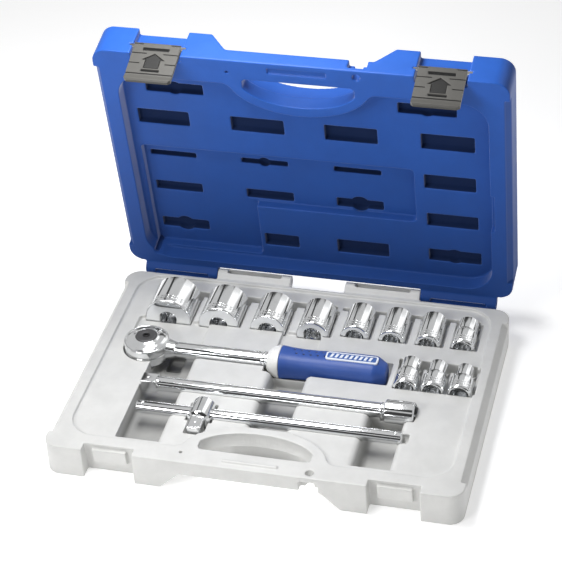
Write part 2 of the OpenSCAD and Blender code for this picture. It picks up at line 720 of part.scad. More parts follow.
module ratchet_retaining_ring() {
    color(steel) translate([head_x, ratchet_y, head_bot - 0.71]) {
        linear_extrude(height = 0.32) difference() {
            circle(r = 10.4, $fn = 64);
            circle(r = 9.06, $fn = 64);
            translate([0, -1.5]) square([20, 3]);
        }
    }
}

module ratchet_ball() {
    color(chrome) translate([head_x, ratchet_y - drive / 2 + 1.5, drive_tip + 6.5]) sphere(r = ball_r, $fn = 40);
}

module ratchet_ball_spring() {
    color(steel) translate([head_x, ratchet_y + 5.6, drive_tip + 6.5]) rotate([90, 0, 0])
        coil(1.5, 8, 12);
}

module ratchet_collar() {
    color([0.85, 0.85, 0.83]) translate([0, ratchet_y, axis_z]) rotate([0, 90, 0]) {
        translate([0, 0, -20 + 0.05]) rotate_extrude($fn = 96) polygon([[5.05, 0], [8.4, 0], [10.5, 0.8],
            [14.2, 7.5], [15.6, 11], [15.6, 12 - 0.1], [5.05, 12 - 0.1]]);
    }
}

module ratchet_grip() {
    l = grip_x1 - grip_x0;
    r = grip_dia / 2;
    color(blue) translate([grip_x0, ratchet_y, axis_z]) difference() {
        rotate([0, 90, 0]) rotate_extrude($fn = 96) polygon([[5.05, 0], [r - 0.2, 0], [r, 0.6],
            [r - 0.9, 8], [r - 1.6, 20], [r - 1.4, 34], [r - 0.3, 52], [r, 66], [r, l - 11], [r - 1, l - 8.5],
            [9.5, l - 0.8], [8, l], [0, l], [0, l - 11.9], [5.05, l - 11.9]]);
        // seat of the label plate
        span([42, -5.4, r - 2.2], [90, 5.4, r + 2]);
        // two rows of grip dimples
        for (i = [0:4]) for (a = [-12, 14]) rotate([a, 0, 0])
            translate([11 + 6.6 * i + (a > 0 ? 2 : 0), 0, r + 0.2]) sphere(r = 2.1, $fn = 24);
    }
}

module ratchet_label() {
    r = grip_dia / 2;
    color([0.93, 0.94, 0.96]) translate([grip_x0, ratchet_y, axis_z])
        span([42.1, -5.3, r - 2.17], [89.9, 5.3, r - 0.9]);
}

// ---------- extension bar ----------

module male_square_x(x0, y) {
    difference() {
        translate([x0, y - drive / 2, axis_z - drive / 2]) cube([16, drive, drive]);
        for (a = [0:90:270]) translate([x0, y, axis_z]) rotate([a, 0, 0]) translate([0, 0, drive / 2])
            rotate([0, 45, 0]) cube([1.6, 20, 1.6], center = true);
    }
}

module extension_bar() {
    color(chrome) difference() {
        union() {
            male_square_x(ext_x0, ext_y);
            rod_x(ext_x0 + 15.5, ext_x1 - 28, ext_y, axis_z, ext_shaft_d / 2);
            translate([ext_x1 - 31, ext_y, axis_z]) rotate([0, 90, 0]) rotate_extrude($fn = 96) polygon([[0, 0],
                [ext_shaft_d / 2, 0], [ext_shaft_d / 2 + 0.7, 1], [ext_shaft_d / 2 + 0.7, 2.6],
                [ext_end_d / 2, 5], [ext_end_d / 2, 29.8], [ext_end_d / 2 - 1.2, 31], [0, 31]]);
        }
        translate([ext_x0 + 6.5, ext_y, axis_z]) cylinder(r = ball_r + pin_gap, h = 20, $fn = 48);
        translate([ext_x0 + 6.5, ext_y, axis_z - 2.2]) cylinder(r = ball_r + pin_gap, h = 5, $fn = 48);
        translate([ext_x1 - 16.5, ext_y - drive_hole / 2, axis_z - drive_hole / 2])
            cube([20, drive_hole, drive_hole]);
        translate([ext_x1 - 1.8, ext_y, axis_z]) rotate([0, 90, 0])
            cylinder(r1 = 6.5, r2 = 8.6, h = 1.9, $fn = 64);
        translate([ext_x1 - 8.5, ext_y, axis_z]) cylinder(r = 2.4, h = 8.2, $fn = 32);
    }
}

module extension_ball() {
    color(chrome) translate([ext_x0 + 6.5, ext_y, axis_z + drive / 2 - 1.5]) sphere(r = ball_r, $fn = 40);
}

module extension_ball_spring() {
    color(steel) translate([ext_x0 + 6.5, ext_y, axis_z - 2.0]) coil(1.5, 4.5, 7);
}

// ---------- sliding T-bar ----------

module tbar_rod() {
    x1 = tbar_x0 + tbar_l;
    color(chrome) difference() {
        translate([tbar_x0, tbar_y, axis_z]) rotate([0, 90, 0]) rotate_extrude($fn = 96)
            polygon([[0, 0], [tbar_d / 2 - 1, 0], [tbar_d / 2, 1], [tbar_d / 2, tbar_l - 1],
                [tbar_d / 2 - 1, tbar_l], [0, tbar_l]]);
        for (x = [tbar_x0 + 6, x1 - 6]) translate([x, tbar_y, axis_z - 2.6])
            cylinder(r = ball_r + pin_gap, h = 20, $fn = 48);
    }
}

module tbar_end_balls() {
    color(chrome) for (x = [tbar_x0 + 6, tbar_x0 + tbar_l - 6])
        translate([x, tbar_y, axis_z + tbar_d / 2 - 1.4]) sphere(r = ball_r, $fn = 40);
}

module tbar_end_springs() {
    color(steel) for (x = [tbar_x0 + 6, tbar_x0 + tbar_l - 6])
        translate([x, tbar_y, axis_z - 2.4]) coil(1.5, 4.2, 7);
}

module tbar_slider() {
    color(chrome) translate([slider_x, 0, axis_z]) difference() {
        union() {
            translate([0, slider_y0, 0]) rotate([-90, 0, 0]) rotate_extrude($fn = 96)
                polygon([[0, 0], [slider_d / 2 - 2, 0], [slider_d / 2, 2], [slider_d / 2, 22.4],
                    [slider_d / 2 - 1.6, 24], [0, 24]]);
            difference() {
                translate([-drive / 2, slider_y0 - 16, -drive / 2]) cube([drive, 17, drive]);
                for (a = [0:90:270]) translate([0, slider_y0 - 16, 0]) rotate([0, a, 0])
                    translate([0, 0, drive / 2]) rotate([45, 0, 0]) cube([20, 1.6, 1.6], center = true);
            }
        }
        translate([-30, tbar_y, 0]) rotate([0, 90, 0]) cylinder(r = tbar_d / 2 + pin_gap, h = 60, $fn = 96);
        translate([0, slider_y0 - 8, -2.2]) cylinder(r = ball_r + pin_gap, h = 20, $fn = 48);
        translate([0, tbar_y + tbar_d / 2 - 2, 0]) rotate([-90, 0, 0]) cylinder(r = 1.7, h = 6.5, $fn = 32);
    }
}

module tbar_slider_balls() {
    color(chrome) {
        translate([slider_x, slider_y0 - 8, axis_z + drive / 2 - 1.5]) sphere(r = ball_r, $fn = 40);
        translate([slider_x, tbar_y + tbar_d / 2 + 1.75, axis_z]) sphere(r = 1.6, $fn = 40);
    }
}

module tbar_slider_springs() {
    color(steel) {
        translate([slider_x, slider_y0 - 8, axis_z - 2.0]) coil(1.5, 4.5, 7);
        translate([slider_x, tbar_y + tbar_d / 2 + 3.15, axis_z]) rotate([-90, 0, 0]) coil(1.1, 1.2, 2);
    }
}

base_shell();
lid_shell();
hinge_pin_left();
hinge_pin_right();
latch_left();
latch_right();
latch_pin_left();
latch_pin_right();
socket_32();
socket_27();
socket_24();
socket_22();
socket_19();
socket_17();
socket_16();
socket_14();
socket_13();
socket_12();
socket_10();
ratchet_body();
ratchet_cover();
ratchet_selector();
ratchet_selector_screw();
ratchet_gear();
ratchet_pawl();
ratchet_pawl_spring();
ratchet_retaining_ring();
ratchet_ball();
ratchet_ball_spring();
ratchet_collar();
ratchet_grip();
ratchet_label();
extension_bar();
extension_ball();
extension_ball_spring();
tbar_rod();
tbar_end_balls();
tbar_end_springs();
tbar_slider();
tbar_slider_balls();
tbar_slider_springs();
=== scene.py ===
"""Looks of a socket wrench set in its hinged case: pieces, finishes and a plain studio."""

import json
import math

import bmesh
import bpy
import numpy as np
from mathutils import Matrix, Vector


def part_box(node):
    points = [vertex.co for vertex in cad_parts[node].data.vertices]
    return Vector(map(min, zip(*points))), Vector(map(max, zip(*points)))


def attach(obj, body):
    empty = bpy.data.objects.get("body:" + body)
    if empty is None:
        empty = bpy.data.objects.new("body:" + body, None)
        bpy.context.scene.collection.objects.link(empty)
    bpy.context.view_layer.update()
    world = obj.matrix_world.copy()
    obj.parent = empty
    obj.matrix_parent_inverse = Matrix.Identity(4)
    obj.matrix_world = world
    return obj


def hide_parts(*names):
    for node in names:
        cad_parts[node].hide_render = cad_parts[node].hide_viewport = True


bl_info = {
    "name": "Socket wrench set in case",
    "version": (1, 0, 0),
    "blender": (4, 5, 0),
    "location": "3D View > Sidebar > Socket Set",
    "description": "Builds the case, the sockets, the ratchet, the bars, their finishes and a studio",
    "category": "Object",
}

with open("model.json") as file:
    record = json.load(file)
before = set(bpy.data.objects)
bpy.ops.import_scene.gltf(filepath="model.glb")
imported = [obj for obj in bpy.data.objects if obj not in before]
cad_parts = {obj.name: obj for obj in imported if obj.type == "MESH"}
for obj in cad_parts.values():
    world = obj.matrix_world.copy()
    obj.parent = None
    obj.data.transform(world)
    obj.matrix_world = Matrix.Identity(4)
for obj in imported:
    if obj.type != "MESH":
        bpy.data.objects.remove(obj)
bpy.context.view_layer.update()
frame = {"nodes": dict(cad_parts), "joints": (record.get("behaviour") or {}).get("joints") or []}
MM = 0.001
AXIS_Z = sum(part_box("tbar_rod")[i].z for i in (0, 1)) / 2  # height of every tool's axis


# ---------- sizes and colours a user may change ----------


class CaseSettings(bpy.types.PropertyGroup):
    """Finish of the two moulded shells."""

    pitch: bpy.props.FloatProperty(
        name="Mesh pitch", description="Size of the faces the soft moulded edges are worked out on",
        default=0.00072, min=0.0005, max=0.003, subtype="DISTANCE", unit="LENGTH")
    rounds: bpy.props.IntProperty(
        name="Edge softness", description="How many times the edges are rounded over",
        default=5, min=1, max=12)
    triangles: bpy.props.IntProperty(
        name="Triangles", description="Most triangles each shell may keep",
        default=185000, min=20000, max=195000)
    base_colour: bpy.props.FloatVectorProperty(
        name="Lower shell", description="Colour of the lower shell", subtype="COLOR", size=3,
        default=(0.62, 0.62, 0.605), min=0.0, max=1.0)
    lid_colour: bpy.props.FloatVectorProperty(
        name="Lid", description="Colour of the lid", subtype="COLOR", size=3,
        default=(0.017, 0.088, 0.39), min=0.0, max=1.0)
    latch_colour: bpy.props.FloatVectorProperty(
        name="Latches", description="Colour of the latch plates", subtype="COLOR", size=3,
        default=(0.066, 0.064, 0.059), min=0.0, max=1.0)


class ToolSettings(bpy.types.PropertyGroup):
    """Finish of the tools."""

    chrome_colour: bpy.props.FloatVectorProperty(
        name="Chrome", description="Colour of the plated tools", subtype="COLOR", size=3,
        default=(0.80, 0.81, 0.82), min=0.0, max=1.0)
    chrome_roughness: bpy.props.FloatProperty(
        name="Chrome roughness", description="How matt the plating is", subtype="FACTOR",
        default=0.075, min=0.02, max=0.6)
    grip_colour: bpy.props.FloatVectorProperty(
        name="Grip", description="Colour of the ratchet's soft grip", subtype="COLOR", size=3,
        default=(0.026, 0.08, 0.33), min=0.0, max=1.0)
    segments: bpy.props.IntProperty(
        name="Points round a tool", description="Points round each turned surface",
        default=240, min=48, max=384)


class StageSettings(bpy.types.PropertyGroup):
    """Floor, light and camera."""

    floor_colour: bpy.props.FloatVectorProperty(
        name="Floor", description="Colour of the floor", subtype="COLOR", size=3,
        default=(0.93, 0.93, 0.93), min=0.0, max=1.0)
    floor_glow: bpy.props.FloatProperty(
        name="Floor glow", description="Light that comes up through the floor", default=0.42, min=0.0)
    overhead_power: bpy.props.FloatProperty(
        name="Overhead light", description="Power of the soft light over the tray",
        default=4.0, min=0.0, unit="POWER")
    side_power: bpy.props.FloatProperty(
        name="Side light", description="Power of the light from the left front",
        default=10.5, min=0.0, unit="POWER")
    sky: bpy.props.FloatProperty(
        name="Room light", description="Brightness of the room", default=0.62, min=0.0, max=4.0)
    focal: bpy.props.FloatProperty(
        name="Focal length", description="Focal length of the camera, in millimetres", default=133.14, min=20.0)


# ---------- shader node groups ----------


def new_group(name, inputs, outputs):
    """Empty shader node group with named sockets: (name, socket type, default)."""
    g = bpy.data.node_groups.new(name, "ShaderNodeTree")
    for label, kind, value in inputs:
        s = g.interface.new_socket(name=label, in_out="INPUT", socket_type=kind)
        if value is not None:
            s.default_value = value
    for label, kind in outputs:
        g.interface.new_socket(name=label, in_out="OUTPUT", socket_type=kind)
    return g, g.nodes.new("NodeGroupInput"), g.nodes.new("NodeGroupOutput")


def maths(tree, kind, a, b=0.5, c=None, clamp=False):
    """Math node of the given kind fed with sockets or numbers."""
    n = tree.nodes.new("ShaderNodeMath")
    n.operation, n.use_clamp = kind, clamp
    for i, v in enumerate((a, b, c)):
        if v is None:
            continue
        if isinstance(v, bpy.types.NodeSocket):
            tree.links.new(v, n.inputs[i])
        else:
            n.inputs[i].default_value = v
    return n.outputs[0]


def ramp(tree, fac, low, high):
    """Smooth step of fac from low to high."""
    n = tree.nodes.new("ShaderNodeMapRange")
    n.interpolation_type = "SMOOTHSTEP"
    tree.links.new(fac, n.inputs["Value"])
    n.inputs["From Min"].default_value, n.inputs["From Max"].default_value = low, high
    return n.outputs["Result"]


def noise(tree, vector, scale, detail=3.0, rough=0.55):
    """Noise texture's factor at the given scale per metre."""
    n = tree.nodes.new("ShaderNodeTexNoise")
    n.inputs["Detail"].default_value, n.inputs["Roughness"].default_value = detail, rough
    tree.links.new(vector, n.inputs["Vector"])
    if isinstance(scale, bpy.types.NodeSocket):
        tree.links.new(scale, n.inputs["Scale"])
    else:
        n.inputs["Scale"].default_value = scale
    return n.outputs["Fac"]


def stretched(tree, vector, scale):
    """Coordinates scaled unevenly, so that noise on them runs in lines."""
    n = tree.nodes.new("ShaderNodeMapping")
    n.vector_type = "POINT"
    n.inputs["Scale"].default_value = scale
    tree.links.new(vector, n.inputs["Vector"])
    return n.outputs["Vector"]


def grain_group():
    """Moulded texture: pebbles about half a millimetre across over slow waves of the sheet."""
    g, i, o = new_group(
        "moulded_grain",
        [("Vector", "NodeSocketVector", None), ("Scale", "NodeSocketFloat", 1800.0),
            ("Waves", "NodeSocketFloat", 0.3)],
        [("Height", "NodeSocketFloat"), ("Mottle", "NodeSocketFloat")])
    v = i.outputs["Vector"]
    pebbles = noise(g, v, i.outputs["Scale"], 2.0, 0.5)
    slow = noise(g, v, 22.0, 2.0, 0.4)
    waves = maths(g, "MULTIPLY", slow, i.outputs["Waves"])
    g.links.new(maths(g, "ADD", pebbles, waves), o.inputs["Height"])
    g.links.new(noise(g, v, 46.0, 4.0, 0.6), o.inputs["Mottle"])
    return g


def wear_and_light_group():
    """Wear and painted light from a piece's edge attribute: outer edges rubbed lighter, partly wear and partly
    painted highlight, and inner corners darker, partly dust and partly painted shade.
    """
    g, i, o = new_group(
        "edge_wear_and_light",
        [("Vector", "NodeSocketVector", None), ("Edge", "NodeSocketFloat", 0.5),
            ("Amount", "NodeSocketFloat", 0.6)],
        [("Rub_and_Highlight", "NodeSocketFloat"), ("Dust_and_Shade", "NodeSocketFloat")])
    v = i.outputs["Vector"]
    patchy = noise(g, v, 120.0, 4.0, 0.65)
    out = ramp(g, i.outputs["Edge"], 0.56, 0.85)
    g.links.new(maths(g, "MULTIPLY", maths(g, "MULTIPLY", out, patchy), i.outputs["Amount"], clamp=True),
        o.inputs["Rub_and_Highlight"])
    inner = maths(g, "SUBTRACT", 1.0, ramp(g, i.outputs["Edge"], 0.15, 0.44))
    g.links.new(maths(g, "MULTIPLY", inner, i.outputs["Amount"], clamp=True), o.inputs["Dust_and_Shade"])
    return g


def handling_group():
    """Handling marks on plating: soft smears and fine lines along the piece."""
    g, i, o = new_group(
        "handling",
        [("Vector", "NodeSocketVector", None), ("Lines", "NodeSocketVector", None),
            ("Amount", "NodeSocketFloat", 0.5)],
        [("Smear", "NodeSocketFloat"), ("Line Height", "NodeSocketFloat")])
    smear = ramp(g, noise(g, i.outputs["Vector"], 70.0, 5.0, 0.6), 0.45, 0.75)
    g.links.new(maths(g, "MULTIPLY", smear, i.outputs["Amount"]), o.inputs["Smear"])
    g.links.new(noise(g, i.outputs["Lines"], 900.0, 2.0, 0.5), o.inputs["Line Height"])
    return g


# ---------- finishes ----------


def blank_material(name, colour, roughness, metallic=0.0, **constants):
    """Material with a Principled shader; constants are set on its own sockets."""
    m = bpy.data.materials.new(name)
    m.use_nodes = True
    m.diffuse_color = (*colour, 1.0)
    p = m.node_tree.nodes["Principled BSDF"]
    p.inputs["Base Color"].default_value = (*colour, 1.0)
    p.inputs["Roughness"].default_value = roughness
    p.inputs["Metallic"].default_value = metallic
    for label, value in constants.items():
        p.inputs[label.replace("_", " ")].default_value = value
    return m, m.node_tree, p


def coordinates(tree):
    """Object coordinates of the piece."""
    return tree.nodes.new("ShaderNodeTexCoord").outputs["Object"]


def place_group(tree, name, links, values=()):
    """Node group placed in a material with its sockets fed."""
    n = tree.nodes.new("ShaderNodeGroup")
    n.node_tree = bpy.data.node_groups[name]
    for label, socket in links.items():
        tree.links.new(socket, n.inputs[label])
    for label, value in dict(values).items():
        n.inputs[label].default_value = value
    return n


def mixed(tree, fac, a, b):
    """Colour mix by a mask of two colours or sockets."""
    n = tree.nodes.new("ShaderNodeMix")
    n.data_type = "RGBA"
    tree.links.new(fac, n.inputs["Factor"])
    for label, v in (("A", a), ("B", b)):
        s = [x for x in n.inputs if x.name == label and x.type == "RGBA"][0]
        if isinstance(v, bpy.types.NodeSocket):
            tree.links.new(v, s)
        else:
            s.default_value = (*v, 1.0)
    return [x for x in n.outputs if x.type == "RGBA"][0]


def scaled(colour, k):
    """Colour made lighter or darker, held within 0 to 1."""
    return tuple(min(1.0, max(0.0, c * k)) for c in colour)


def bump(tree, shader, height, strength, distance):
    """Bump node between a height and the shader's normal."""
    n = tree.nodes.new("ShaderNodeBump")
    n.inputs["Strength"].default_value = strength
    n.inputs["Distance"].default_value = distance
    tree.links.new(height, n.inputs["Height"])
    tree.links.new(n.outputs["Normal"], shader.inputs["Normal"])


def plastic(name, colour, roughness, grain=1800.0, depth=0.00006, wear_and_shading=0.5, rub_and_highlight=1.25, dust_and_shade=0.72,
        edge=True, spec=0.5):
    """Moulded plastic: grain in the bump, mottle in the roughness, outer edges rubbed lighter, partly wear and
    partly painted highlight, and inner corners darker, partly dust and partly painted shade.
    The deep attribute is painted shade: it darkens the insides of recesses and dulls them."""
    m, t, p = blank_material(name, colour, roughness, Specular_IOR_Level=spec)
    v = coordinates(t)
    g = place_group(t, "moulded_grain", {"Vector": v}, {"Scale": grain, "Waves": 0.35})
    mottle = g.outputs["Mottle"]
    body = mixed(t, ramp(t, mottle, 0.3, 0.72), scaled(colour, 0.955), scaled(colour, 1.04))
    matt = 0.0
    if edge:
        a = t.nodes.new("ShaderNodeAttribute")
        a.attribute_name = "edge"
        w = place_group(t, "edge_wear_and_light", {"Vector": v, "Edge": a.outputs["Fac"]}, {"Amount": wear_and_shading})
        # painted highlight and shade: rubbed outer edges are lightened and inner corners darkened, partly as wear
        # and dust
        body = mixed(t, w.outputs["Rub_and_Highlight"], body, tuple(min(1.0, c * rub_and_highlight + 0.02) for c in colour))
        body = mixed(t, w.outputs["Dust_and_Shade"], body, scaled(colour, dust_and_shade))
        # painted shade: the deep attribute darkens the colour towards a tenth of itself in recesses
        d = t.nodes.new("ShaderNodeAttribute")
        d.attribute_name = "deep"
        body = mixed(t, maths(t, "MULTIPLY", d.outputs["Fac"], 0.94), body, scaled(colour, 0.10))
        matt = maths(t, "MULTIPLY", d.outputs["Fac"], 0.5)
    t.links.new(body, p.inputs["Base Color"])
    rough = maths(t, "ADD", maths(t, "MULTIPLY", mottle, 0.16), roughness - 0.08)
    t.links.new(maths(t, "ADD", rough, matt), p.inputs["Roughness"])
    bump(t, p, g.outputs["Height"], 0.35, depth)
    return m


def metal(name, colour, roughness, stretch, smear=0.5, metallic=1.0, depth=0.0000015,
        tone=0.88):
    """Plated or bare metal: smears dull it in patches and fine lines run along the piece."""
    m, t, p = blank_material(name, colour, roughness, metallic)
    v = coordinates(t)
    g = place_group(t, "handling", {"Vector": v, "Lines": stretched(t, v, stretch)}, {"Amount": smear})
    t.links.new(mixed(t, g.outputs["Smear"], colour, scaled(colour, tone)), p.inputs["Base Color"])
    dulled = maths(t, "MULTIPLY", g.outputs["Smear"], 0.13)
    t.links.new(maths(t, "ADD", dulled, roughness), p.inputs["Roughness"])
    bump(t, p, g.outputs["Line Height"], 0.3, depth)
    return m


FINISH = {}
SMOOTH = {"grain": 2400.0, "depth": 0.00002, "edge": False}  # glossy plastic without edge wear


def build_finishes(scene):
    """All node groups and materials of the set."""
    grain_group()
    wear_and_light_group()
    handling_group()
    case, tool = scene.socket_case, scene.socket_tools
    chrome, rough = tuple(tool.chrome_colour), tool.chrome_roughness
    # painted highlight and shade: the lid's rub of 1.7 lightens its panel edges as painted highlights, and the
    # low corner factors of the lid, the latches and the grip paint shade into their inner corners, slots and
    # dimples
    FINISH.update(
        shell=plastic("shell_grey", tuple(case.base_colour), 0.42, wear_and_shading=0.5, rub_and_highlight=1.12, dust_and_shade=0.8),
        lid=plastic("lid_blue", tuple(case.lid_colour), 0.38, wear_and_shading=0.8, rub_and_highlight=1.7, dust_and_shade=0.42, spec=0.22),
        latch=plastic("latch_charcoal", tuple(case.latch_colour), 0.42, grain=2600.0, wear_and_shading=1.0, rub_and_highlight=1.5,
            dust_and_shade=0.04, spec=0.3),
        grip=plastic("grip_soft_blue", tuple(tool.grip_colour), 0.45, grain=3200.0, depth=0.00007,
            wear_and_shading=1.0, dust_and_shade=0.12),
        collar=plastic("collar_pale", (0.78, 0.78, 0.765), 0.27, **SMOOTH),
        label_frame=plastic("label_white", (0.82, 0.85, 0.9), 0.3, **SMOOTH),
        label_field=plastic("label_blue", (0.05, 0.12, 0.36), 0.34, **SMOOTH),
        chrome_x=metal("chrome_along_x", chrome, rough, (0.06, 1.0, 1.0)),
        chrome_y=metal("chrome_along_y", chrome, rough, (1.0, 0.06, 1.0)),
        chrome_z=metal("chrome_turned", chrome, rough + 0.02, (1.0, 1.0, 0.08)),
        steel=metal("steel_plain", (0.46, 0.46, 0.47), 0.3, (0.1, 1.0, 1.0), depth=0.00001),
        dark_steel=metal("steel_blackened", (0.16, 0.16, 0.165), 0.3, (1.0, 1.0, 0.2), metallic=0.9,
            depth=0.00001, tone=1.2),
        black_steel=metal("steel_black", (0.012, 0.012, 0.013), 0.45, (1.0, 1.0, 0.2), metallic=0.3,
            depth=0.00001, tone=1.3),
    )


# ---------- mesh making ----------


def fillet(stations, reach, steps=4):
    """Rounds a polyline of stations. Each inner corner P between A and B becomes points of the
    quadratic (1-t)^2 A' + 2t(1-t) P + t^2 B', where A' and B' lie on its two legs at most reach away."""
    p = np.asarray(stations, float)
    a, b, c = p[:-2], p[1:-1], p[2:]
    la = np.linalg.norm(b[:, :2] - a[:, :2], axis=1)[:, None]
    lc = np.linalg.norm(c[:, :2] - b[:, :2], axis=1)[:, None]
    pa = b + (a - b) * np.minimum(reach / np.maximum(la, 1e-9), 0.45)
    pc = b + (c - b) * np.minimum(reach / np.maximum(lc, 1e-9), 0.45)
    t = np.linspace(0, 1, steps)[None, :, None]
    q = (1 - t) ** 2 * pa[:, None] + 2 * t * (1 - t) * b[:, None] + t**2 * pc[:, None]
    return np.vstack([p[:1], q.reshape(-1, p.shape[1]), p[-1:]])


def angles(n):
    """n equal angles round a circle."""
    return np.arange(n) * (2 * math.pi / n)


def square_outline(th, power=14.0):
    """Rounded square in polar form: 1 over the power mean of the sine and cosine."""
    return (np.abs(np.cos(th)) ** power + np.abs(np.sin(th)) ** power) ** (-1 / power)


def hexagon_outline(th, turn=0.0):
    """Hexagon of unit half width in polar form: 1 over the cosine of the angle to the nearest flat."""
    f = (th + turn + math.pi / 6) % (math.pi / 3) - math.pi / 6
    return 1 / np.cos(f)


def twelve_point_outline(th):
    """Two hexagons a twelfth of a turn apart, the wider of the two at each angle."""
    return np.maximum(hexagon_outline(th), hexagon_outline(th, math.pi / 6))


def skin(rings, loop=False):
    """Faces over rings of points: quads between neighbours, and a fan on the end rings unless it is a loop.
    rings has the shape (rings, points, 3)."""
    m, n, _ = rings.shape
    rows = np.arange(m if loop else m - 1)
    cols = np.arange(n)
    r, c = np.meshgrid(rows, cols, indexing="ij")
    r2, c2 = (r + 1) % m, (c + 1) % n
    quads = np.stack([r * n + c, r * n + c2, r2 * n + c2, r2 * n + c], -1).reshape(-1, 4)
    points = rings.reshape(-1, 3)
    faces = quads.tolist()
    if not loop:
        ends = np.stack([rings[0].mean(0), rings[-1].mean(0)])
        k = len(points)
        points = np.vstack([points, ends])
        nxt = (cols + 1) % n
        faces += np.stack([nxt, cols, np.full(n, k)], -1).tolist()
        last = (m - 1) * n
        faces += np.stack([last + cols, last + nxt, np.full(n, k + 1)], -1).tolist()
    return points, faces


def turned(stations, outlines, axis, origin, n, loop=False):
    """Surface of rings along an axis. A station is (distance along the axis, half width, shares of the
    outlines), and a ring's radius at an angle is the half width times the shared outline there."""
    st = np.asarray(stations, float)
    th = angles(n)
    shares = st[:, 2:]
    rest = 1 - shares.sum(1, keepdims=True)
    shape = rest * np.ones(n)[None] + sum(shares[:, i : i + 1] * o(th)[None] for i, o in enumerate(outlines))
    rad = st[:, 1:2] * shape
    along = np.broadcast_to(st[:, :1], rad.shape)
    u, v = rad * np.cos(th)[None], rad * np.sin(th)[None]
    if axis == "X":
        xyz = np.stack([along, u, v], -1)
    elif axis == "Y":
        xyz = np.stack([v, along, u], -1)
    else:
        xyz = np.stack([u, v, along], -1)
    return skin(xyz * MM + np.asarray(origin, float), loop)


def make_mesh(name, points, faces, finish, sharp=38.0, edge=None):
    """Mesh object of points and faces, smooth up to the given edge angle. Six times the volume is the sum
    of the triple products of its triangles; where that is negative the faces are turned outwards."""
    me = bpy.data.meshes.new(name)
    me.from_pydata(np.asarray(points, float).tolist(), [], faces)
    me.calc_loop_triangles()
    tri = np.zeros(len(me.loop_triangles) * 3, np.int32)
    me.loop_triangles.foreach_get("vertices", tri)
    a, b, c = (coords(me)[tri.reshape(-1, 3)[:, i]] for i in range(3))
    if (np.cross(a, b) * c).sum() < 0:
        me.flip_normals()
    if edge is not None:
        me.attributes.new("edge", "FLOAT", "POINT").data.foreach_set("value", np.asarray(edge, np.float32))
    me.shade_smooth()
    me.set_sharp_from_angle(angle=math.radians(sharp))
    me.materials.append(FINISH[finish])
    o = bpy.data.objects.new(name, me)
    bpy.context.scene.collection.objects.link(o)
    return o


def settle(obj, body, slot, *nodes):
    """The piece rides on its body and stands for the CAD nodes given, which are hidden; slot is not used."""
    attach(obj, body)
    if nodes:
        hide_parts(*nodes)
    return obj


def carried(node, finish, bevel=0.0, sharp=32.0):
    """A CAD node kept as it is, with its loose triangles welded, its edges eased and its finish."""
    o = frame["nodes"][node]
    o.data.materials.clear()
    o.data.materials.append(FINISH[finish])
    w = o.modifiers.new("Weld", "WELD")
    w.merge_threshold = 2e-6
    if bevel:
        b = o.modifiers.new("Bevel", "BEVEL")
        b.width, b.segments, b.limit_method = bevel * MM, 2, "ANGLE"
        b.angle_limit = math.radians(sharp)
        b.harden_normals = True
        b.use_clamp_overlap = True
    o.data.shade_smooth()
    return o


def welded_copy(node):
    """Points and triangles of a CAD node with its doubles merged and its sealed inner walls dropped:
    the connected part that reaches the lowest X is the outside."""
    src = frame["nodes"][node].data
    bm = bmesh.new()
    bm.from_mesh(src)
    bmesh.ops.remove_doubles(bm, verts=bm.verts, dist=2e-6)
    bm.verts.ensure_lookup_table()
    p = np.array([v.co for v in bm.verts], float)
    e = np.array([[x.index for x in d.verts] for d in bm.edges])
    tris = np.array([[v.index for v in f.verts] for f in bm.faces])
    bm.free()
    mark = np.arange(len(p))
    while True:  # lowest mark spreads along the edges until nothing changes
        was = mark.copy()
        low = np.minimum(mark[e[:, 0]], mark[e[:, 1]])
        np.minimum.at(mark, e[:, 0], low)
        np.minimum.at(mark, e[:, 1], low)
        mark = mark[mark]
        if (mark == was).all():
            break
    outer = mark[np.argmin(p[:, 0])]
    keep = mark == outer
    tris = tris[keep[tris[:, 0]]]
    new = np.cumsum(keep) - 1
    return p[keep], new[tris]


def evaluated(obj):
    """Mesh of an object with its modifiers applied."""
    dg = bpy.context.evaluated_depsgraph_get()
    return bpy.data.meshes.new_from_object(obj.evaluated_get(dg))


def coords(me):
    """Vertex positions of a mesh as an array."""
    a = np.zeros(len(me.vertices) * 3, np.float32)
    me.vertices.foreach_get("co", a)
    return a.reshape(-1, 3).astype(float)


